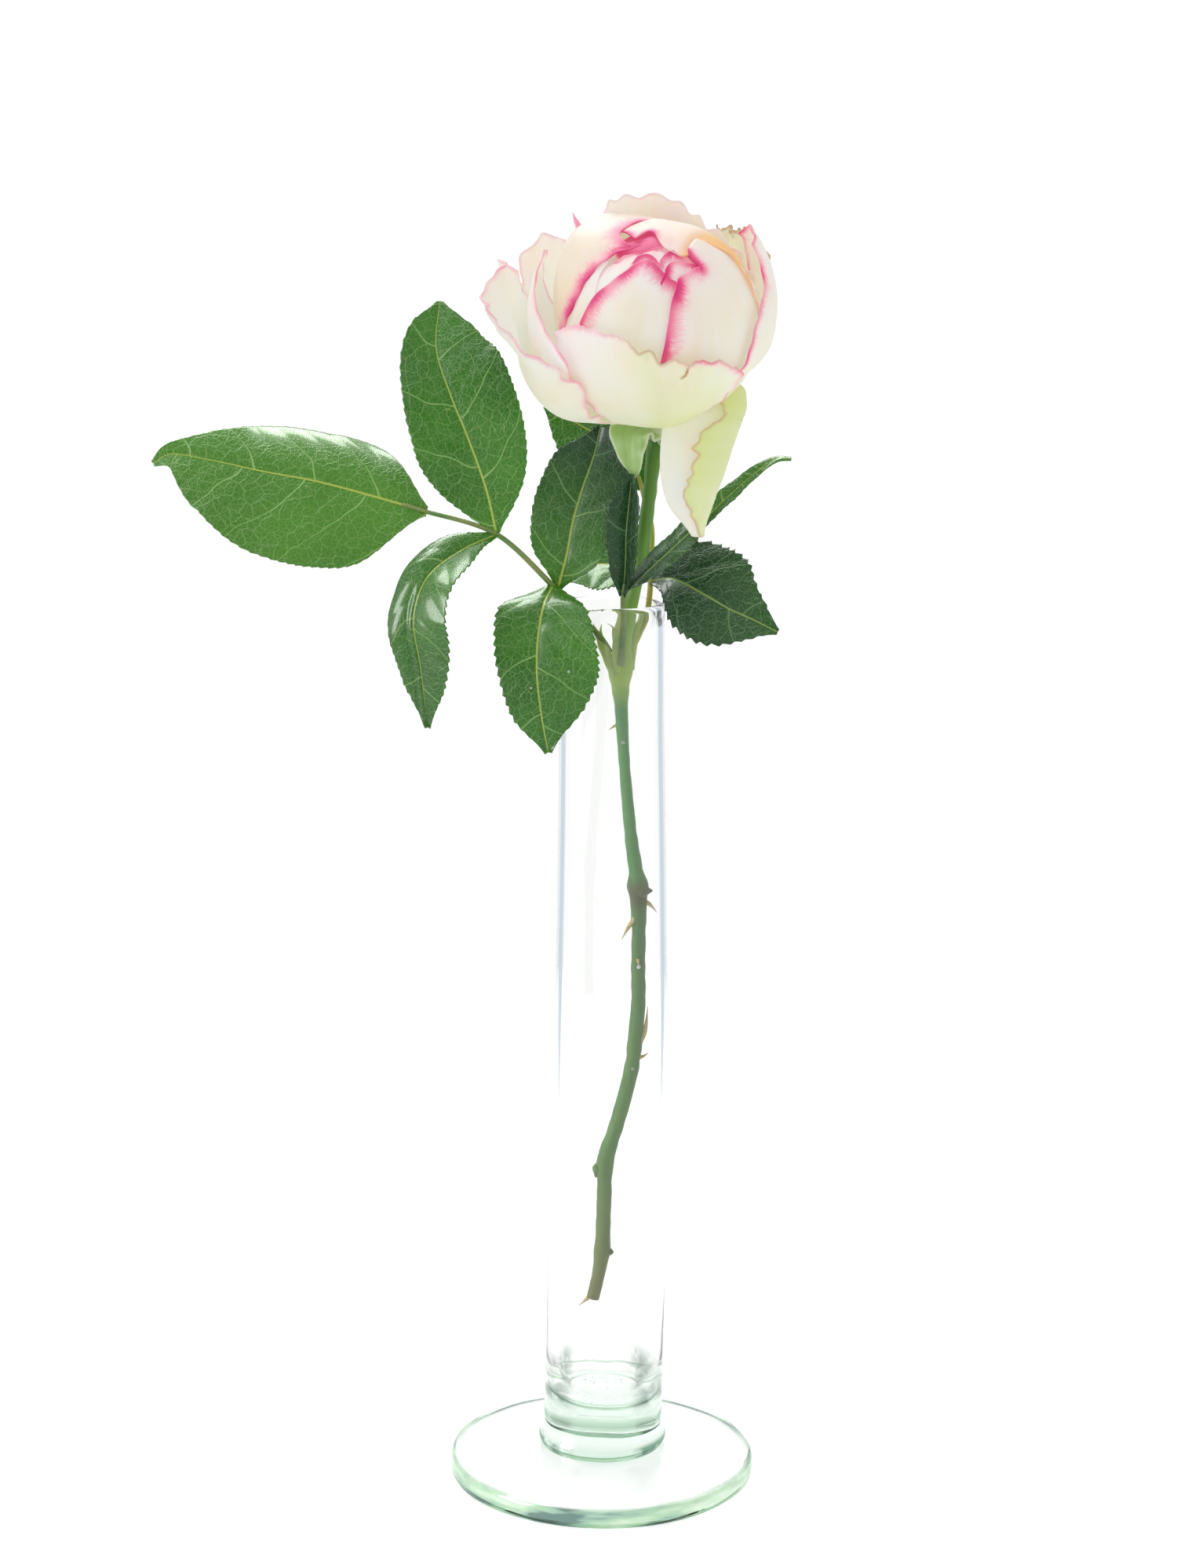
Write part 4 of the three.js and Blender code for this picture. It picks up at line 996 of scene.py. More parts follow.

# %% [markdown]
# The back leaf stands in the shade of the bloom, so its blades get much of the painted dark, bluish shade.
# Its yellow stalk shows beside the stem, and its three leaflets are made as the left ones are.

# %% Back leaf
back_blades = [
    leaflet("leaf_back_right", [(10.6, 6.2, 255.2), (16.5, 2.2, 256.3), (25.1, -2, 252.6), (31.9, -4, 249),
                                (38.5, -5.6, 246.3), (45, -6.4, 243.2)],
            (0.1, -0.85, 0.5), [0.8, 13.2, 16, 14.6, 7, 0.6], [0.8, 7.6, 13.4, 13.6, 8, 0.6],
            fold=4, teeth_deep=1.1, shade=(0.9, 0.6), seed=6),
    leaflet("leaf_back_low", [(10.6, 6.6, 255.6), (2.2, 11, 258.6), (-6.4, 14, 258.2), (-14, 15.4, 254)],
            (0, -0.8, 0.6), [0.8, 7, 9, 7, 0.6], [0.8, 11, 15, 12, 0.6], fold=7, seed=7, rows=90),
    leaflet("leaf_back_up", [(8, 12, 279.4), (5.8, 14.4, 286.4), (-2.5, 17.6, 292.4), (-10.1, 19.6, 296.8),
                             (-19, 20.4, 301.6)],
            (0.25, -0.85, -0.3), [0.8, 8, 12, 12, 8, 0.6], fold=8, seed=8, rows=110),
]
back_rod = tube("leaf_back_stalk", [
    (5.9, 2.4, 238), (8.2, 2.9, 242.6), (9.7, 3.4, 247), (10.3, 4.4, 251), (10.6, 6.4, 255.3),
    (10.9, 8.6, 263.4),
    (10.7, 10, 270), (8.6, 11.4, 277), (7, 12.8, 283)], [(0, 1.1), (0.2, 0.8), (1, 0.6)], 120, 14)
back_sheath = own(tube("leaf_back_sheath", [(5.6, 1, 231.6), (5.6, 1.3, 236), (6.4, 1.8, 240.6),
                                            (7.3, 2.3, 244.4), (8.6, 2.9, 247.6)],
                       [(0, 0.9), (0.3, 1.3), (0.75, 1.1), (1, 0.7)], 60, 16), sheath_pale)
finish_leaf("leaf_back_three_leaflets", "leaf_back", back_blades, [back_rod], stalk_yellow, [back_sheath])

# %% [markdown]
# The front leaf has one small upright leaflet, folded along its midrib like a closing book, and one long
# narrow one that curls back along both margins. The fold is an angle of the two halves and the curl a bend of
# each, so both are two numbers of the same leaflet function.

# %% Front leaf
front_blades = [
    leaflet("leaf_front_upright", [(3, -5.6, 252.4), (3.5, -7.8, 262.2), (3.6, -9.4, 270.7),
                                   (4.3, -10.2, 279.2), (4.8, -10.4, 286)],
            (-0.35, -1, 0), [0.8, 4.2, 5.4, 5.8, 5, 0.6], fold=40, shade=(0.85, 0.85), teeth_deep=0.5, seed=9,
            across=24, rows=110),
    leaflet("leaf_front_curled", [(3.2, -5.9, 253.2), (7.9, -9, 258.2), (14.5, -10, 264.7),
                                  (24.9, -10, 274.6),
                                  (36.2, -9.5, 285.2), (43.4, -9, 290.4), (47.4, -9, 290.6)],
            (-0.32, -0.44, 0.84), [0.8, 5, 6, 5, 3.6, 2.2, 0.6], fold=10, curl=(2, 2), shade=(0.9, 0),
            teeth_deep=0.6, seed=10),
]
front_rod = tube("leaf_front_stalk", [
    (2.6, -4.4, 233.6), (2.8, -4.6, 238), (3.1, -5.1, 246), (3, -5.6, 252.6), (3.4, -6.2, 256)],
    [(0, 1.2), (0.3, 0.8), (1, 0.7)], 60, 14)
front_sheath = own(tube("leaf_front_sheath", [(2.6, -2, 229.6), (1.7, -2.7, 233.6), (1.6, -3.4, 238.6),
                                              (1.9, -4.1, 244), (2.6, -4.8, 248.8)],
                        [(0, 0.8), (0.25, 1.5), (0.7, 1.25), (1, 0.7)], 60, 16), sheath_pale)
front_point = own(tube("stipule_2", [(1.2, -3.4, 239), (0.5, -3.4, 242), (0.3, -3.4, 244.2),
                                     (-1.2, -3.4, 245.6)],
                       [(0, 0.7), (0.6, 0.3), (1, 0.08)], 24, 10), sheath_pale)
finish_leaf("leaf_front_two_leaflets", "leaf_front", front_blades, [front_rod], stalk_green,
            [front_sheath, front_point])

# %% [markdown]
# ## Calyx
# Under the bloom sits the round green hip with five sepals. They are thin, downy and light green with fine
# ribs and a whitish felted margin. Real down could be a particle system, but at this size it is only seen as
# a soft sheen and a pale rim, so sheen and a painted attribute at the margin stand for it.

# %% Sepal material
sepal_skin, tree, out = new_material("downy_light_green_sepal")
blade_map = add_node(tree, "ShaderNodeUVMap", uv_map="blade")
where = add_node(tree, "ShaderNodeSeparateXYZ", {0: blade_map})
place = add_node(tree, "ShaderNodeTexCoord")
# Fine parallel veins 0.8 mm apart run the length of a sepal
ribs = add_node(tree, "ShaderNodeTexNoise", {0: add_node(
    tree, "ShaderNodeMapping", {0: blade_map, "Scale": (0.7, 0.08, 1)}), "Scale": 1.0, "Detail": 3.0})
sepal_tone = add_node(tree, "ShaderNodeValToRGB", {0: ribs}, stops=[
    (0.3, "#93B961"), (0.6, "#A8CB78"), (0.8, "#BEDA96")])
rim = add_node(tree, "ShaderNodeAttribute", attribute_name="tone")
rim_parts = add_node(tree, "ShaderNodeSeparateColor", {0: rim.outputs["Color"]})
felted = add_node(tree, "ShaderNodeMix", {
    0: rim_parts, 6: sepal_tone, 7: "#E6EDD6"}, data_type="RGBA")
down = add_node(tree, "ShaderNodeBump", {"Height": ribs, "Strength": 0.4, "Distance": 0.0003})
sepal_bsdf = add_node(tree, "ShaderNodeBsdfPrincipled", {
    "Base Color": felted.outputs[2], "Roughness": 0.6, "Sheen Weight": 0.3, "Subsurface Weight": 0.1,
    "Subsurface Scale": 0.001, "Normal": down})
tree.links.new(sepal_bsdf.outputs[0], out.inputs[0])
print(sepal_skin.name, "nodes:", len(tree.nodes))

# %% [markdown]
# The hip is a flattened ball in the bloom's own frame, whose axis leans 30 degrees to the viewer. Each sepal
# is a pointed sheet along a route, like a leaflet without teeth. The front one hangs before the stem with a
# curled tip.

# %% Hip and sepals
HIP_RADIUS, HIP_HALF_HEIGHT = 3.4, 2.3
BLOOM_BASE = np.array([11.2, 2, 296.5])
BLOOM_TILT = math.radians(30)
BLOOM_UP = np.array([0, -math.sin(BLOOM_TILT), math.cos(BLOOM_TILT)])
BLOOM_FRONT = np.array([0, -math.cos(BLOOM_TILT), -math.sin(BLOOM_TILT)])
BLOOM_RIGHT = np.array([1.0, 0, 0])
SEPALS = [
    dict(rib=[(10.4, 0.8, 295), (8, -3.8, 297.6), (4.8, -7.8, 296.8), (4.6, -9.8, 291.4), (5.4, -9.6, 287),
              (5, -8.2, 284.4)],
         face=(-0.3, -0.7, 0.6), face_tip=(-0.3, -0.9, 0), left=[2.2, 6, 6.6, 4.8, 2.8, 0.6]),
    dict(rib=[(12.2, 0.6, 294.8), (15.6, -3, 294.2), (18.4, -6, 291), (19.6, -7, 285)],
         face=(0.3, -0.7, 0.6), face_tip=(0.5, -0.9, 0), left=[2, 4, 3.6, 0.6]),
    dict(rib=[(13.2, 2.4, 295), (19, 3.4, 295.4), (24, 4.6, 293.4), (28, 5, 288.6)],
         face=(0.2, 0, 1), left=[2, 4, 3.6, 0.6]),
    dict(rib=[(12, 3.6, 295.4), (14, 11, 298.6), (16, 18, 301), (17, 24, 300.6)],
         face=(0, -0.3, 1), left=[2, 4, 3.6, 0.6]),
    dict(rib=[(10.2, 3, 295.4), (6.4, 8.6, 300), (3.4, 12.4, 304), (1, 15.4, 307)],
         face=(-0.1, -0.6, 1), left=[2, 4, 3.4, 0.6]),
]


def sepal(number, rib, face, left, face_tip=None, fold=10, curl=1.5):
    """A sepal: a smooth pointed blade with an inturned, whitish margin."""
    curve = route(rib)
    tip_face = np.asarray(face_tip or face, float)
    foot_face = np.asarray(face, float)

    def surface(u, v):
        t = np.clip(v, 0.002, 0.998)
        out = u * spread(left, t)
        way = heading(curve, t)
        up = foot_face + (tip_face - foot_face) * t[:, None]
        up = unit(up - way * np.sum(up * way, -1, keepdims=True))
        side = np.cross(way, up)
        ruffle = 0.45 * waver(t * curve.length, 6, number + 20) * u**2
        rise = np.abs(out) * math.sin(math.radians(fold)) - curl * out * out / 100 + ruffle
        return curve(t) + side * out[:, None] + up * rise[:, None]

    made = sheet(f"sepal_{number}", surface, 24, 60,
                 {"blade": lambda u, v, place: (u * spread(left, v), v * curve.length)},
                 {"tone": lambda u, v, place: (step_up(np.abs(u), 0.82, 1) * 0.8, 0, 0, 0)})
    deselect()
    modifier(made, "SOLIDIFY", thickness=0.5 * MM, offset=0)
    return made


def hip_surface(u, v):
    turn, rise = np.pi * u, np.pi * (v - 0.5)
    ring, height = HIP_RADIUS * np.cos(rise), HIP_HALF_HEIGHT * np.sin(rise)
    return (BLOOM_BASE + BLOOM_UP * height[:, None] + BLOOM_RIGHT * (ring * np.sin(turn))[:, None]
            + BLOOM_FRONT * (ring * np.cos(turn))[:, None])


hip = sheet("hip", hip_surface, 32, 20, {"blade": lambda u, v, place: (u * 10, v * 6)})
close_seams(hip)
calyx = joined("calyx_hip_and_sepals", [hip] + [sepal(k, **shape) for k, shape in enumerate(SEPALS)])
own(calyx, sepal_skin)
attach(calyx, "root")
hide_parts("calyx")

# %% [markdown]
# ## Petal tissue
# Petals are thin, soft and slightly translucent, with a velvet sheen. On this rose they are cream, flush to
# yellow-green at the foot, and carry a band of deep pink along the free margin that bleeds inward in fine
# streaks square to the edge. It could be painted on an unwrapped image, but the streaks are finer than such
# an image. The band needs to know how far the margin is, so each petal carries a UV map "margin": U runs
# along the free margin and V is the distance to it, both in millimetres. The attribute "tone" says how strong
# and how wide the pink is there, how green and how dried.

# %% The pink of the margin
petal_skin, tree, out = new_material("velvety_rose_petal_cream_and_pink")
margin = add_node(tree, "ShaderNodeUVMap", uv_map="margin")
along_margin = add_node(tree, "ShaderNodeSeparateXYZ", {0: margin})
tone = add_node(tree, "ShaderNodeAttribute", attribute_name="tone")
parts = add_node(tree, "ShaderNodeSeparateColor", {0: tone.outputs["Color"]})
strength, reach, green, dried = parts.outputs[0], parts.outputs[1], parts.outputs[2], tone.outputs["Alpha"]
place = add_node(tree, "ShaderNodeTexCoord")
# Streaks 0.3 mm wide across the margin and some millimetres long, square to it
comb = add_node(tree, "ShaderNodeMapping", {0: margin, "Scale": (1.0, 0.12, 1)})
streaks = add_node(tree, "ShaderNodeTexNoise", {0: comb, "Scale": 3.0, "Detail": 3.0, "Roughness": 0.65})
patches = add_node(tree, "ShaderNodeTexNoise", {0: margin, "Scale": 0.16, "Detail": 2.0})
mixed = add_node(tree, "ShaderNodeMath", {0: streaks, 1: 1.5, 2: patches}, operation="MULTIPLY_ADD")
uneven = add_node(tree, "ShaderNodeMapRange", {0: mixed, 1: 0.75, 2: 1.75, 3: 0.35, 4: 1.45})
far = add_node(tree, "ShaderNodeMath", {0: reach, 1: uneven}, operation="MULTIPLY")
far_mm = add_node(tree, "ShaderNodeMath", {0: far, 1: 10.0}, operation="MULTIPLY")
near = add_node(tree, "ShaderNodeMath", {0: along_margin.outputs[1], 1: far_mm}, operation="DIVIDE")
fade = add_node(tree, "ShaderNodeMapRange", {0: near, 1: 0.0, 2: 1.0, 3: 1.0, 4: 0.0},
                interpolation_type="SMOOTHSTEP")
pink = add_node(tree, "ShaderNodeMath", {0: fade, 1: strength}, operation="MULTIPLY")
print("pink margin nodes:", len(tree.nodes))

# %% [markdown]
# Under the pink, faint veins fan up the petal, and its body shades from ivory to a warmer cream. Some petals
# are painted peach to orange where light falls through several layers or lies warm in the shade, which is
# painted light; others are green at the foot, or dried brown along the edge and at a tear. Each is one more
# mix over the one before, in the order in which a painter would glaze them.

# %% The petal's body and its other tones
fan = add_node(tree, "ShaderNodeUVMap", uv_map="fan")
fan_place = add_node(tree, "ShaderNodeMapping", {0: fan, "Scale": (1.0, 0.05, 1)})
fan_veins = add_node(tree, "ShaderNodeTexNoise", {0: fan_place, "Scale": 1.1, "Detail": 4.0})
cloud = add_node(tree, "ShaderNodeTexNoise", {0: place.outputs["Object"], "Scale": 70.0, "Detail": 2.0})
body_mix = add_node(tree, "ShaderNodeMath", {0: fan_veins, 1: 0.5, 2: cloud}, operation="MULTIPLY_ADD")
body = add_node(tree, "ShaderNodeValToRGB", {0: body_mix}, stops=[
    (0.45, "#F4F4F8"), (0.7, "#F6F3F2"), (0.95, "#F6EEE6")])
# The attribute "glow" says where painted light makes the tissue peach to orange, and where it is torn or
# dried brown
glow = add_node(tree, "ShaderNodeAttribute", attribute_name="glow")
glow_parts = add_node(tree, "ShaderNodeSeparateColor", {0: glow.outputs["Color"]})
with_painted_glow = add_node(tree, "ShaderNodeMix", {0: glow_parts, 6: body, 7: "#F6C87E"}, data_type="RGBA")
greened = add_node(tree, "ShaderNodeMix", {0: green, 6: with_painted_glow.outputs[2], 7: "#D9E58F"}, data_type="RGBA")
pinks = add_node(tree, "ShaderNodeValToRGB", {0: pink}, stops=[
    (0.0, "#FBD3DA"), (0.38, "#F9A9C2"), (0.75, "#F173A2"), (1.0, "#DF3C85")])
cover = add_node(tree, "ShaderNodeMapRange", {0: pink, 1: 0.0, 2: 0.8})
blushed = add_node(tree, "ShaderNodeMix", {0: cover, 6: greened.outputs[2], 7: pinks}, data_type="RGBA")
# Dried edges: brown within half a millimetre of the margin, and along a tear
crisp = add_node(tree, "ShaderNodeMapRange", {0: along_margin.outputs[1], 1: 0.2, 2: 0.9, 3: 1.0, 4: 0.0})
crisp_amount = add_node(tree, "ShaderNodeMath", {0: crisp, 1: dried}, operation="MULTIPLY")
brown = add_node(tree, "ShaderNodeMath", {0: crisp_amount, 1: glow_parts.outputs[1]}, operation="MAXIMUM")
browned = add_node(tree, "ShaderNodeMix", {0: brown, 6: blushed.outputs[2], 7: "#B78347"}, data_type="RGBA")
print("with the body:", len(tree.nodes), "nodes")

# %% [markdown]
# The skin itself is a rough, velvety surface with a little subsurface scattering, mixed with a translucent
# shader for the light that comes through from behind. A faint glow of the petal's own colour is painted
# light: it keeps the deep folds bright where shade would fall.

# %% Velvet skin
relief = add_node(tree, "ShaderNodeBump", {"Height": fan_veins, "Strength": 0.18, "Distance": 0.0004})
# The emission is painted light that lifts the deep folds
velvet = add_node(tree, "ShaderNodeBsdfPrincipled", {
    "Base Color": browned.outputs[2], "Roughness": 0.6, "Specular IOR Level": 0.2, "Sheen Weight": 0.12,
    "Sheen Roughness": 0.4, "Subsurface Weight": 0.25, "Subsurface Radius": (1.0, 0.85, 0.68),
    "Subsurface Scale": 0.003, "Emission Color": browned.outputs[2], "Emission Strength": 0.18,
    "Normal": relief})
through = add_node(tree, "ShaderNodeBsdfTranslucent", {0: browned.outputs[2]})
both = add_node(tree, "ShaderNodeMixShader", {0: 0.28, 1: velvet, 2: through})
tree.links.new(both.outputs[0], out.inputs[0])
print(petal_skin.name, "nodes:", len(tree.nodes))

# %% [markdown]
# ## The bloom
# The bloom is a globe of wrapped petals whose axis leans 30 degrees towards the viewer. Each petal is
# measured on that globe: the azimuths of its two margins, the latitude of its edge, and how far it stands off
# the globe. Near its free margin the tissue is fuller than the rest, so it rolls out and ruffles.

# %% The globe's own measures
GLOBE_RADIUS, GLOBE_HEIGHT, ROOT_LATITUDE = 25, 34, -66
PETAL_THICKNESS = 0.4


def in_bloom(azimuth, out, height):
    """A place out from the bloom's axis at an azimuth (0 to the front, 90 to the right), and up along it."""
    a = np.radians(azimuth)
    return (BLOOM_BASE + BLOOM_RIGHT * (out * np.sin(a))[:, None] + BLOOM_FRONT * (out * np.cos(a))[:, None]
            + BLOOM_UP * np.asarray(height)[:, None])


def on_globe(azimuth, latitude, lift):
    """A place at an azimuth and latitude of the globe, lift mm outside it."""
    reach, b = GLOBE_RADIUS + lift, np.radians(latitude)
    return in_bloom(azimuth, reach * np.cos(b), GLOBE_HEIGHT + reach * np.sin(b))


def margin_measures(place, across, rows):
    """For each vertex of a grid, how far along the free margin its nearest place is, and how far away, in
    mm."""
    grid = place.reshape(rows + 1, across + 1, 3)
    edge = np.vstack([grid[:, 0], grid[-1, 1:], grid[-2::-1, -1]])
    start, way = edge[:-1], np.diff(edge, axis=0)
    length = np.linalg.norm(way, axis=1)
    run = np.concatenate([[0], np.cumsum(length)])[:-1]
    best, nearest = np.full(len(place), 1e9), np.zeros(len(place))
    for k in range(len(start)):
        share = np.clip(((place - start[k]) @ way[k]) / max(length[k] ** 2, 1e-9), 0, 1)
        away = np.linalg.norm(place - start[k] - share[:, None] * way[k], axis=1)
        closer = away < best
        best[closer], nearest[closer] = away[closer], (run[k] + share * length[k])[closer]
    return nearest, best


# %% [markdown]
# One function makes a petal from its lists. It lays the plain form first, measures the distance to the free
# margin on it, and then lays it again with the roll and the ruffle that depend on that distance. A cloth
# simulation can give such ruffles too, but not at chosen places.

# %% Petal
def petal_sheet(name, form, across, rows, pink=0.8, reach=3.0, green=0.3, tint=0.04, painted_glow=0, dried=0,
                tear=None, roll=1.0, roll_width=5.0, ruffle=0.5, ruffle_length=9.0, uneven=0.35, seed=1):
    """A petal from form(u, v, lift) in mm, with its pink, its dried edge, its roll and its ruffle. pink,
    tint, painted_glow (painted light: peach where light comes through) and dried may be lists from its left
    to its right margin; tear is a line of (across, up) places."""
    measured = {}

    def surface(u, v):
        plain = form(u, v, np.zeros_like(u))
        run, away = margin_measures(plain, across, rows)
        near = np.clip(1 - away / roll_width, 0, 1)
        root_fade = step_up(v, 0.15, 0.45)
        lift = roll * near**2 + ruffle * waver(run, ruffle_length, seed) * near * root_fade
        lift = lift * root_fade + uneven * waver(u * 8 + v * 5, 9, seed + 50) * step_up(v, 0.1, 0.4)
        final = form(u, v, lift)
        measured["margin"] = margin_measures(final, across, rows)
        return final

    def tones(u, v, place):
        run, away = measured["margin"]
        s = (u + 1) / 2
        patchy = 0.85 + 0.2 * waver(run, 14, seed + 9)
        return (np.clip(spread(pink, s) * patchy, 0, 1) * step_up(v, 0.12, 0.4), reach / 10,
                np.clip(green * (1 - v) ** 1.2 + spread(tint, s), 0, 1), np.clip(spread(dried, s), 0, 1))

    def glows(u, v, place):
        brown = 0 * u
        if tear:
            line = spread([np.array(point) for point in tear], np.linspace(0, 1, 60))
            torn = form(2 * line[:, 0] - 1, line[:, 1], 0 * line[:, 0] + 0.2)
            brown = np.clip(1.6 - np.linalg.norm(place[:, None] - torn[None], axis=-1).min(1) / 0.28, 0, 1)
        return np.clip(spread(painted_glow, (u + 1) / 2), 0, 1) * step_up(v, 0.3, 0.7), brown, 0, 0

    made = sheet(name, surface, across, rows, {
        "margin": lambda u, v, place: measured["margin"],
        "fan": lambda u, v, place: (u * 14 + seed * 31, v * 40)}, {"tone": tones, "glow": glows})
    deselect()
    modifier(made, "SOLIDIFY", thickness=PETAL_THICKNESS * MM, offset=0)
    return made


def globe_petal(name, left, right, top, lift, hug_left=(0,), hug_right=(0,), swell=(0,), lean=0.0, nibble=0.0,
                across=52, rows=52, seed=1, **looks):
    """A petal that follows the globe. Lists are read at even steps: left and right give its margins' azimuths
    from root to edge, lift how far its middle stands off there, the hugs how much closer its margins lie, top
    the latitude of its edge from left to right, swell what that edge adds to lift, lean how much more its
    left margin stands off than its right one, and nibble how ragged the edge is."""
    def form(u, v, extra):
        s = (u + 1) / 2
        azimuth = spread(left, v) + (spread(right, v) - spread(left, v)) * s
        ragged = nibble * (0.7 * waver(s * 60, 9, seed + 70) + 0.5 * waver(s * 60, 3, seed + 71))
        latitude = ROOT_LATITUDE + (spread(top, s) + ragged * step_up(v, 0.55, 1) - ROOT_LATITUDE) * v
        hug = u * u * np.where(u < 0, spread(hug_left, v), spread(hug_right, v)) + lean * u
        return on_globe(azimuth, latitude, spread(lift, v) - hug + v * v * spread(swell, s) + extra)

    return petal_sheet(name, form, across, rows, seed=seed, **looks)


def globe_patch(name, paths, across=60, rows=60, seed=1, **looks):
    """A petal through paths from its root to its free edge, each a list of (azimuth, latitude, lift). A path
    may pass over the top of the globe."""
    net = [on_globe(*np.array(path, float).T) for path in paths]

    def form(u, v, extra):
        rails = np.stack([spread(path, v) for path in net], 1)
        last = len(net) - 1
        at = (u + 1) / 2 * last
        i = np.minimum(at.astype(int), last - 1)
        f = (at - i)[:, None]
        row = np.arange(len(u))
        a, b, c, d = (rails[row, np.clip(i + k, 0, last)] for k in (-1, 0, 1, 2))
        place = b + ((c - a) * f + (2 * a - 5 * b + 4 * c - d) * f**2 + (3 * b - a - 3 * c + d) * f**3) / 2
        outward = unit(place - BLOOM_BASE - BLOOM_UP * GLOBE_HEIGHT)
        return place + outward * extra[:, None]

    return petal_sheet(name, form, across, rows, seed=seed, **looks)


# %% [markdown]
# The inner petals wrap the globe tightly. What shows of each is a smooth cheek and its deep pink margin, so
# the margins' azimuths and the edge's latitudes are what make the likeness. They are kept in lists, one petal
# after the other.

# %% Petals wrapped around the globe
INNER = [
    dict(name="strip", left=[-95, -90], right=[-44, -44, -44, -46, -50, -55, -72], top=[58, 57.5, 57, 56],
         lift=[0.3, 0.5], lean=0.3, pink=0.12, reach=1.2, roll=0, ruffle=0.1, seed=1),
    dict(name="ribbon", left=[-62, -62, -62, -62, -62, -62, -62, -62, -67, -64, -50], right=[20, 25],
         top=[74, 79, 80, 78], lift=[-0.3, -0.1], pink=[0.3, 0.9, 0.9], reach=1.8, roll=0.1, ruffle=0.12,
         seed=21),
    dict(name="middle", left=[-56, -56, -56, -56, -56, -56, -56, -56, -54, -47, -38], right=[24, 24],
         top=[64, 68.6, 70.2, 69.2, 67, 64, 59.5, 56.5, 54], lift=[0.8, 0.9], hug_right=[1.5], pink=1.0,
         reach=6.5, roll=0.1, ruffle=0.15, seed=2),
    dict(name="right", left=[-2, -2, -2, -1, -1, 0, 0, 2.5, 5, 8.5, 17], right=[92, 84],
         top=[57, 58, 59, 59.6, 60, 60, 60, 60, 60, 60.2, 69, 71, 72, 72.3, 72.4, 72.4, 72.4, 72.2, 72, 71.6,
              71],
         lift=[1.2, 1.5], hug_right=[-1.2], pink=[1, 1, 1, 1, 1, 1, 0.8, 0.15, 0, 0, 0], reach=6.2, roll=0.1,
         ruffle=0.15, across=90, rows=70, seed=3),
]
inner = [globe_petal(uneven=0.1, **shape) for shape in INNER]
print("wrapped petals:", [shape["name"] for shape in INNER])

# %% [markdown]
# Two petals pass over the top of the globe, where azimuths run together and margins can't be listed by them.
# They are laid through whole paths instead, each from the petal's root to its free edge.

# %% Petals over the top
# The left petal is a wide shield whose right side sinks to the globe
LEFT = dict(name="left", paths=[
    [(-190, -66, 1), (-190, -41, 1.6), (-190, -16, 2.2), (-189, 8, 2), (-189, 33, 2), (-188, 58, 1.6)],
    [(-175, -66, 1), (-175, -41, 1.6), (-175, -16, 2.6), (-175, 8, 3.8), (-174, 33, 4.6), (-173, 58.5, 1.6)],
    [(-161, -66, 1), (-161, -41, 1.6), (-161, -15, 2.9), (-160, 10, 5), (-159, 35, 6.5), (-158, 59.5, 1.6)],
    [(-146, -66, 1), (-146, -40, 1.6), (-146, -15, 3.1), (-145, 11, 5.8), (-144, 37, 7.7), (-142, 61, 1.6)],
    [(-132, -66, 1), (-132, -40, 1.6), (-131, -14, 3.2), (-130, 12, 6), (-129, 38, 8), (-126, 63, 1.6)],
    [(-117, -66, 1), (-117, -40, 1.6), (-116, -13, 3), (-115, 13, 5.4), (-114, 40, 6.9), (-109, 66, 1.5)],
    [(-103, -66, 1), (-102, -39, 1.4), (-101, -12, 2.2), (-100, 15, 3.3), (-99, 42, 3.8), (-92, 69, 1.3)],
    [(-89, -66, 1), (-88, -39, 1.2), (-87, -12, 1.4), (-86, 16, 1.8), (-86, 43, 1.8), (-76, 72.5, 1.1)],
    [(-76, -66, 1), (-75, -48, 1), (-74, -30, 0.9), (-74, -12, 0.9), (-73, 6, 0.9), (-69, 23, 0.9),
     (-72, 41, 0.9),
     (-75, 58, 0.9), (-60, 77, 0.8)]], painted_glow=[0.05, 0.05, 0.1, 0.3], pink=[0.7, 0.8, 0.9, 1, 1], reach=6.5,
     roll=0.1,
    ruffle=0.15, across=84, rows=70, seed=4)
# The arc petal comes over the top from behind, its free right side standing off the globe like a collar
ARC = dict(name="arc", paths=[
    [(100, -60, 2), (84, -20, 1), (76, 10, 2.2), (77, 32, 3.3), (84, 50, 3.3), (95, 64, 1.8)],
    [(125, -60, 2), (118, -20, 1), (118, 15, 1.6), (116, 40, 1.8), (106, 62, 1.4), (46, 70, 0.5)],
    [(140, -60, 2), (138, -20, 1), (138, 18, 1.4), (136, 45, 1.6), (126, 68, 1.3), (32, 75, 0.7)],
    [(160, -60, 2), (160, -20, 1), (160, 20, 1.2), (160, 48, 1.6), (158, 72, 1.4), (10, 82, 0.8)],
    [(185, -60, 2), (185, -20, 1), (186, 20, 1.2), (188, 48, 1.6), (192, 68, 1.5), (220, 82, 0.9)],
    [(215, -60, 2), (218, -20, 1), (222, 20, 1.2), (224, 42, 1.2), (232, 60, 1.0), (264, 75.5, 0.9)]],
    pink=[0.3, 0.1, 0.1, 0.15, 0.9, 1.0], painted_glow=[1, 0.9, 0.25, 0.1, 0.1, 0.1], reach=3.4, green=0.25, roll=0.2,
    roll_width=3, ruffle=0.2, across=90, rows=64, seed=5)
inner += [globe_patch(uneven=0.15, **shape) for shape in (LEFT, ARC)]
print("with those over the top:", len(inner))

# %% [markdown]
# The youngest petals crumple in the heart and show no more than their margins. So only the places of a margin
# are given, as (azimuth, latitude), and a short strip is hung from each, sinking into the globe.

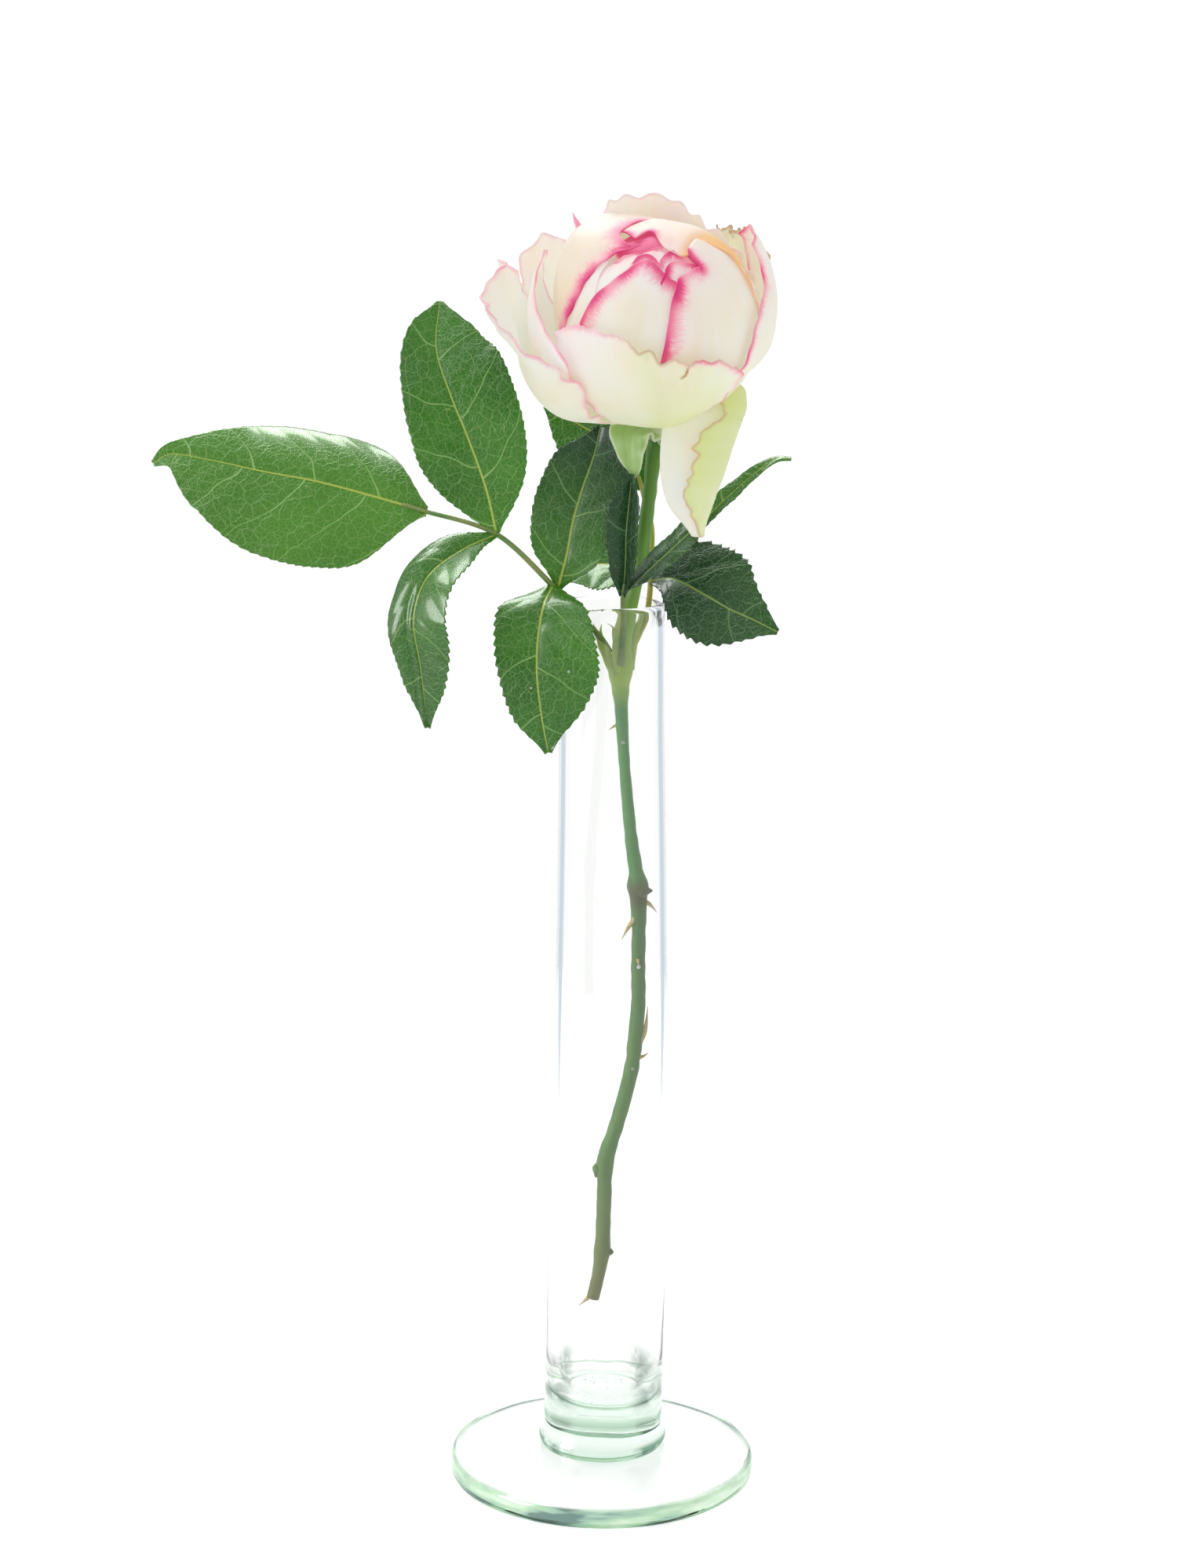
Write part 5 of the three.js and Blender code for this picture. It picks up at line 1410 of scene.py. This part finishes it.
# %% Folds of the heart
FOLDS = [
    dict(name="fold_back", edge=0.1, margin=[(-66, 66), (-60, 70), (-48, 74), (-38, 79), (-12, 82), (27, 82),
                                             (39, 78), (52, 70)], pink=[0.9, 0.8, 0.6], painted_glow=0.25, reach=3),
    dict(name="fold_high", edge=0.5, margin=[(-44, 70), (-33, 74), (-19, 74), (-9, 72), (-2, 69), (0, 72),
                                             (6, 75),
                                             (20, 77), (34, 77), (40, 71), (46, 65), (56, 60)], pink=1.0,
                                             reach=5),
    dict(name="fold_low", edge=0.9, margin=[(0, 56), (5, 62), (7, 65), (12, 68), (20, 69), (31, 68), (39, 65),
                                            (53, 61), (62, 57)], pink=1.0, reach=4),
]
FOLD_ROOT = 42
for k, fold in enumerate(FOLDS):
    edge, margin = fold.pop("edge"), fold.pop("margin")
    paths = [[(a, FOLD_ROOT, -1), (a, (FOLD_ROOT + b) / 2, -0.5 + 0.4 * edge), (a, b, edge)] for a,
             b in margin]
    inner.append(globe_patch(paths=paths, across=80, rows=30, roll=0.1, ruffle=0.15, uneven=0.1, green=0,
                             seed=30 + k, **fold))
print("petals of the closed bloom:", len(inner))

# %% [markdown]
# ## The core
# Under the folds the bloom is closed by a rounded core, deep pink at the top like the petals packed there, so
# that no dark shows between them. It is turned like a vase: rings of a profile around the bloom's axis. The
# real heart has dozens of small petals more, which nothing shows.

# %% Core
CORE_RINGS = [(-69, 2), (-58, 2), (-46, -1.6), (-25, -1.6), (0, -1.6), (25, -1.6), (45, -1.4), (60, -1.1),
              (68, -0.9), (76, -0.2), (83, 0.3)]
CORE_FOOT, CORE_TOP = 2.9, GLOBE_HEIGHT + GLOBE_RADIUS + 0.4


def core_surface(u, v):
    rings = [(0, CORE_FOOT), (2.6, CORE_FOOT)]
    for latitude, lift in CORE_RINGS:
        reach, b = GLOBE_RADIUS + lift, math.radians(latitude)
        rings.append((reach * math.cos(b), GLOBE_HEIGHT + reach * math.sin(b)))
    rings.append((0, CORE_TOP))
    ring = spread(rings, v)
    return in_bloom(180 * u, np.maximum(ring[:, 0], 0), ring[:, 1])


core = sheet("core", core_surface, 64, 72, {
    "margin": lambda u, v, place: (u * 60, 30 - 29 * step_up(v, 0.6, 0.72)),
    "fan": lambda u, v, place: (u * 40, v * 60)},
    {"tone": lambda u, v, place: (step_up(v, 0.62, 0.72), 0.5, 0.25 * (1 - v), 0),
     "glow": lambda u, v, place: (0, 0, 0, 0)})
close_seams(core)
print("core faces:", len(core.data.polygons))

# %% [markdown]
# The left petal ends in a thin curled spike on the skyline. It is a small tube with the petals' attributes,
# so that the one petal material fits the whole joined piece.

# %% Spike, and the inner petals as one piece
spike = tube("spike", [(-9.4, -13, 349.6), (-10.3, -13, 351.4), (-11, -13, 352.8), (-11.5, -12.8, 354.2)],
             [(0, 1.3), (0.4, 0.7), (1, 0.15)], 24, 12)
for label, value in (("tone", (0.6, 0.5, 0, 0)), ("glow", (0, 0, 0, 0))):
    layer = spike.data.attributes.new(label, "FLOAT_COLOR", "POINT")
    layer.data.foreach_set("color", np.tile(value, len(spike.data.vertices)))
bloom_inner = joined("bloom_inner_petals", [core, spike] + inner)
own(bloom_inner, petal_skin)

# %% [markdown]
# The outer petals have let go of the globe and stand off it by up to 22 mm. Their lists have more in them:
# swell and hug bend them away from it or back, dried and tint age them, and the front one is torn at its
# ragged edge.

# %% Outer petals
OUTER = [
    dict(name="upper_back", left=[84, 82, 92], right=[206, 212], top=[22, 34, 44, 45, 47, 45],
         lift=[1.2, 1.8, 2.4, 2.6], swell=[-0.7, -0.7, 0.6, 3.4, 6.4, 6.6], pink=0.22, green=0.03, reach=2.0,
         roll=0.4, ruffle=0.7, across=64, seed=6),
    dict(name="right_outer", left=[44, 44, 46, 50, 66, 108], right=[124, 128], top=[38, 40, 34],
         lift=[1, 0.4, 0.4, 5.2, 7.2, 9.4], hug_left=[0, 0, 0, 2, 3.4, 3], hug_right=[0, 0, 0, 1, 2, 3],
         pink=0.75, reach=2.1, roll=0.4, ruffle=0.3, seed=7),
    dict(name="wilted", left=[114, 116], right=[156, 152], top=[24, 30, 24, 20], lift=[1.4, 3, 6.4, 8.6],
         pink=0.0, tint=0.25, painted_glow=0.12, dried=0.6, nibble=1.2, roll=0.8, ruffle=0.9, ruffle_length=7,
         across=60, seed=8),
    dict(name="pointed", left=[-140, -112], right=[-40, -42, -44, -46, -54, -107], top=[25, 25],
         lift=[2, 3, 5, 8, 9, 9.6], hug_right=[0, 0, 1.6, 2.6, 2, 0], pink=0.6, green=0.03, reach=1.3,
         roll=0.3, ruffle=0.25, seed=9),
    dict(name="front", left=[-28, -36, -48, -64], right=[24, 38, 46, 48],
         top=[10, 14, 18, 20, 21.5, 23, 23, 23.5, 24, 24, 24, 23.5, 22, 18.5, 19, 19.5, 13, 14, 14.5, 13, 12,
              12.3, 12, 10.5, 9, 6.5, 4, 0, -4], lift=[2, 2.4, 3, 4.6], hug_left=[0, -1, -1, -0.6],
         hug_right=[0, 1.5, 1.5, 0.6], pink=[0.3, 0.55, 0.5, 0.3, 0.05, 0.2, 0.55, 0.7, 0.5], reach=2.4,
         nibble=0.8, roll=0.4, ruffle=0.4, ruffle_length=9,
         tint=[0, 0, 0.04, 0.12, 0.35, 0.3, 0.3, 0.25, 0.1], dried=[0, 0, 0, 0.1, 0.5, 0.35, 0.2, 0.2, 0.1],
         tear=[(0.70, 1), (0.69, 0.95), (0.68, 0.91), (0.655, 0.87)], across=130, rows=80, green=0.45,
         seed=10),
    dict(name="left_outer", left=[-112, -116], right=[-38, -40, -40, -41, -47, -80], top=[6, 14, 18, 11, 12],
         lift=[2.2, 5.4, 11.6, 14, 14.8, 22], hug_left=[0, 0, 2, 4, 5, 6],
         hug_right=[0, 1.6, 6.7, 9.4, 8.4, 2],
         swell=[0, -2, -4, 0, 0], pink=0.5, reach=2.0, roll=0.6, ruffle=1.2, across=64, rows=64, green=0.28,
         tint=0.1, seed=11),
    dict(name="pale", left=[-154, -142], right=[-108, -113], top=[8, 15, 17, 13], lift=[2, 4, 9, 15],
         pink=0.3, reach=1.8, roll=0.8, ruffle=0.6, green=0.25, across=40, seed=12),
    dict(name="low_back", left=[-215, -208], right=[-158, -156], top=[10, 16, 10], lift=[2, 3, 6, 10],
         pink=0.4, reach=2.0, roll=0.8, ruffle=0.8, green=0.5, seed=13),
    dict(name="low_right", left=[116, 126], right=[162, 160], top=[-6, 0, -6], lift=[2, 3, 6, 9], pink=0.4,
         reach=2.0, roll=0.8, ruffle=0.8, green=0.5, across=44, seed=14),
]
bloom_outer = joined("bloom_outer_petals", [globe_petal(**shape) for shape in OUTER])
own(bloom_outer, petal_skin)

# %% [markdown]
# ## The drooping petal
# One outer petal has wilted and hangs down before the stem. Its right side is folded over to the front, so
# its cross section is a flat J: from the left edge to the fold on the right, and back to a ragged free
# margin. No globe guides it, so it has a form function of its own, along a route.

# %% Drooping petal
droop_curve = route([
    (11.6, 0.2, 300), (16.5, -6, 303), (23.5, -14, 309), (24, -19.2, 304), (22.2, -21.5, 296.5),
    (20.7, -22.5, 287), (20.4, -22.3, 279), (22.4, -21.5, 270.6)], by_length=False)
DROOP_HALF = [2, 6, 9.6, 11, 10.2, 8.6, 6, 1.6]
# How far the free margin of the flap comes back from the fold, as a share of the whole width
FLAP = [(0, 0), (0.15, 0.1), (0.28, 0.46), (0.36, 0.4), (0.44, 0.28), (0.485, 0.27), (0.505, 0.42),
        (0.55, 0.5), (0.6, 0.55), (0.64, 0.5), (0.68, 0.53), (0.74, 0.57), (0.8, 0.66), (0.9, 0.55), (1, 0.4)]


def droop_form(u, v, extra):
    s = (u + 1) / 2
    centre = droop_curve(v)
    half = spread(DROOP_HALF, v)
    flap = eased(FLAP, v) + 0.03 * waver(v * 60, 4, 81) * step_up(v, 0.3, 0.5)
    turn_at = 1 / (1 + np.clip(flap, 0.02, 1))
    flat_s = np.clip(s / turn_at, 0, 1)
    back_s = np.clip((s - turn_at) / (1 - turn_at), 0, 1)
    x = half * (2 * flat_s - 1) - back_s * flap * 2 * half
    bow = -3.2 * (x / np.maximum(half, 0.1)) ** 2 * np.minimum(1, v * 2)
    front = (0.3 + 1.5 * np.sin(np.pi * np.clip(back_s * 1.2, 0, 1) / 2)) * step_up(back_s, 0, 0.12)
    place = centre.copy()
    place[:, 0] += x * 0.97
    place[:, 1] += -bow * 0.6 - front - extra * np.where(back_s > 0, 1, -0.3)
    place[:, 2] += x * 0.16 * (1 - v)
    return place


droop = petal_sheet("droop", droop_form, 90, 110, pink=[0, 0, 0.05, 0.12, 0.25, 0.4], reach=0.9, green=0.2,
                    tint=[0.12, 0.08, 0.1, 0.3, 0.5, 0.6, 0.75], roll=0.3, roll_width=3, ruffle=0.3,
                    ruffle_length=5, uneven=0.2, seed=41, dried=[0, 0, 0, 0.05, 0.1, 0.25])
bloom_droop = joined("bloom_drooping_petal", [droop])
own(bloom_droop, petal_skin)
for piece in (bloom_inner, bloom_outer, bloom_droop):
    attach(piece, "root")
    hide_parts("bloom")

# %% [markdown]
# ## Water drops
# A few drops of water still cling to the stem and to the lowest leaflet. Each is a small sphere, pressed flat
# against the surface nearest to its place, which Blender finds. Metaballs would flow together more truly, but
# the drops are a millimetre across and apart from each other.

# %% Water drops
# On which piece, across, up and radius, in millimetres
DROPS = [(stem, 3.3, 209.3, 0.55), (stem, 8.6, 154.0, 0.4), (stem, 7.5, 137.0, 0.6),
         (stem, 10.2, 121.4, 0.45), (leaf_left, -12.2, 232.8, 0.4), (leaf_left, -21.6, 229.1, 0.35)]
BEFORE = -30
water, tree, out = new_material("water_drops")
wet = add_node(tree, "ShaderNodeBsdfPrincipled", {
    "Base Color": "#FFFFFF", "Roughness": 0.02, "IOR": 1.33, "Transmission Weight": 0.6})
tree.links.new(wet.outputs[0], out.inputs[0])
drops = []
for on, x, z, size in DROPS:
    _, at, normal, _ = on.closest_point_on_mesh((x * MM, BEFORE * MM, z * MM))
    deselect()
    bpy.ops.mesh.primitive_uv_sphere_add(segments=20, ring_count=12, radius=size * MM, location=at)
    drop = bpy.context.object
    drop.scale = (1, 1, 0.6)
    drop.rotation_euler = normal.to_track_quat("Z", "Y").to_euler()
    bpy.ops.object.transform_apply(location=True, rotation=True, scale=True)
    drops.append(drop)
water_drops = joined("water_drops", drops)
own(water_drops, water)
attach(water_drops, "root")
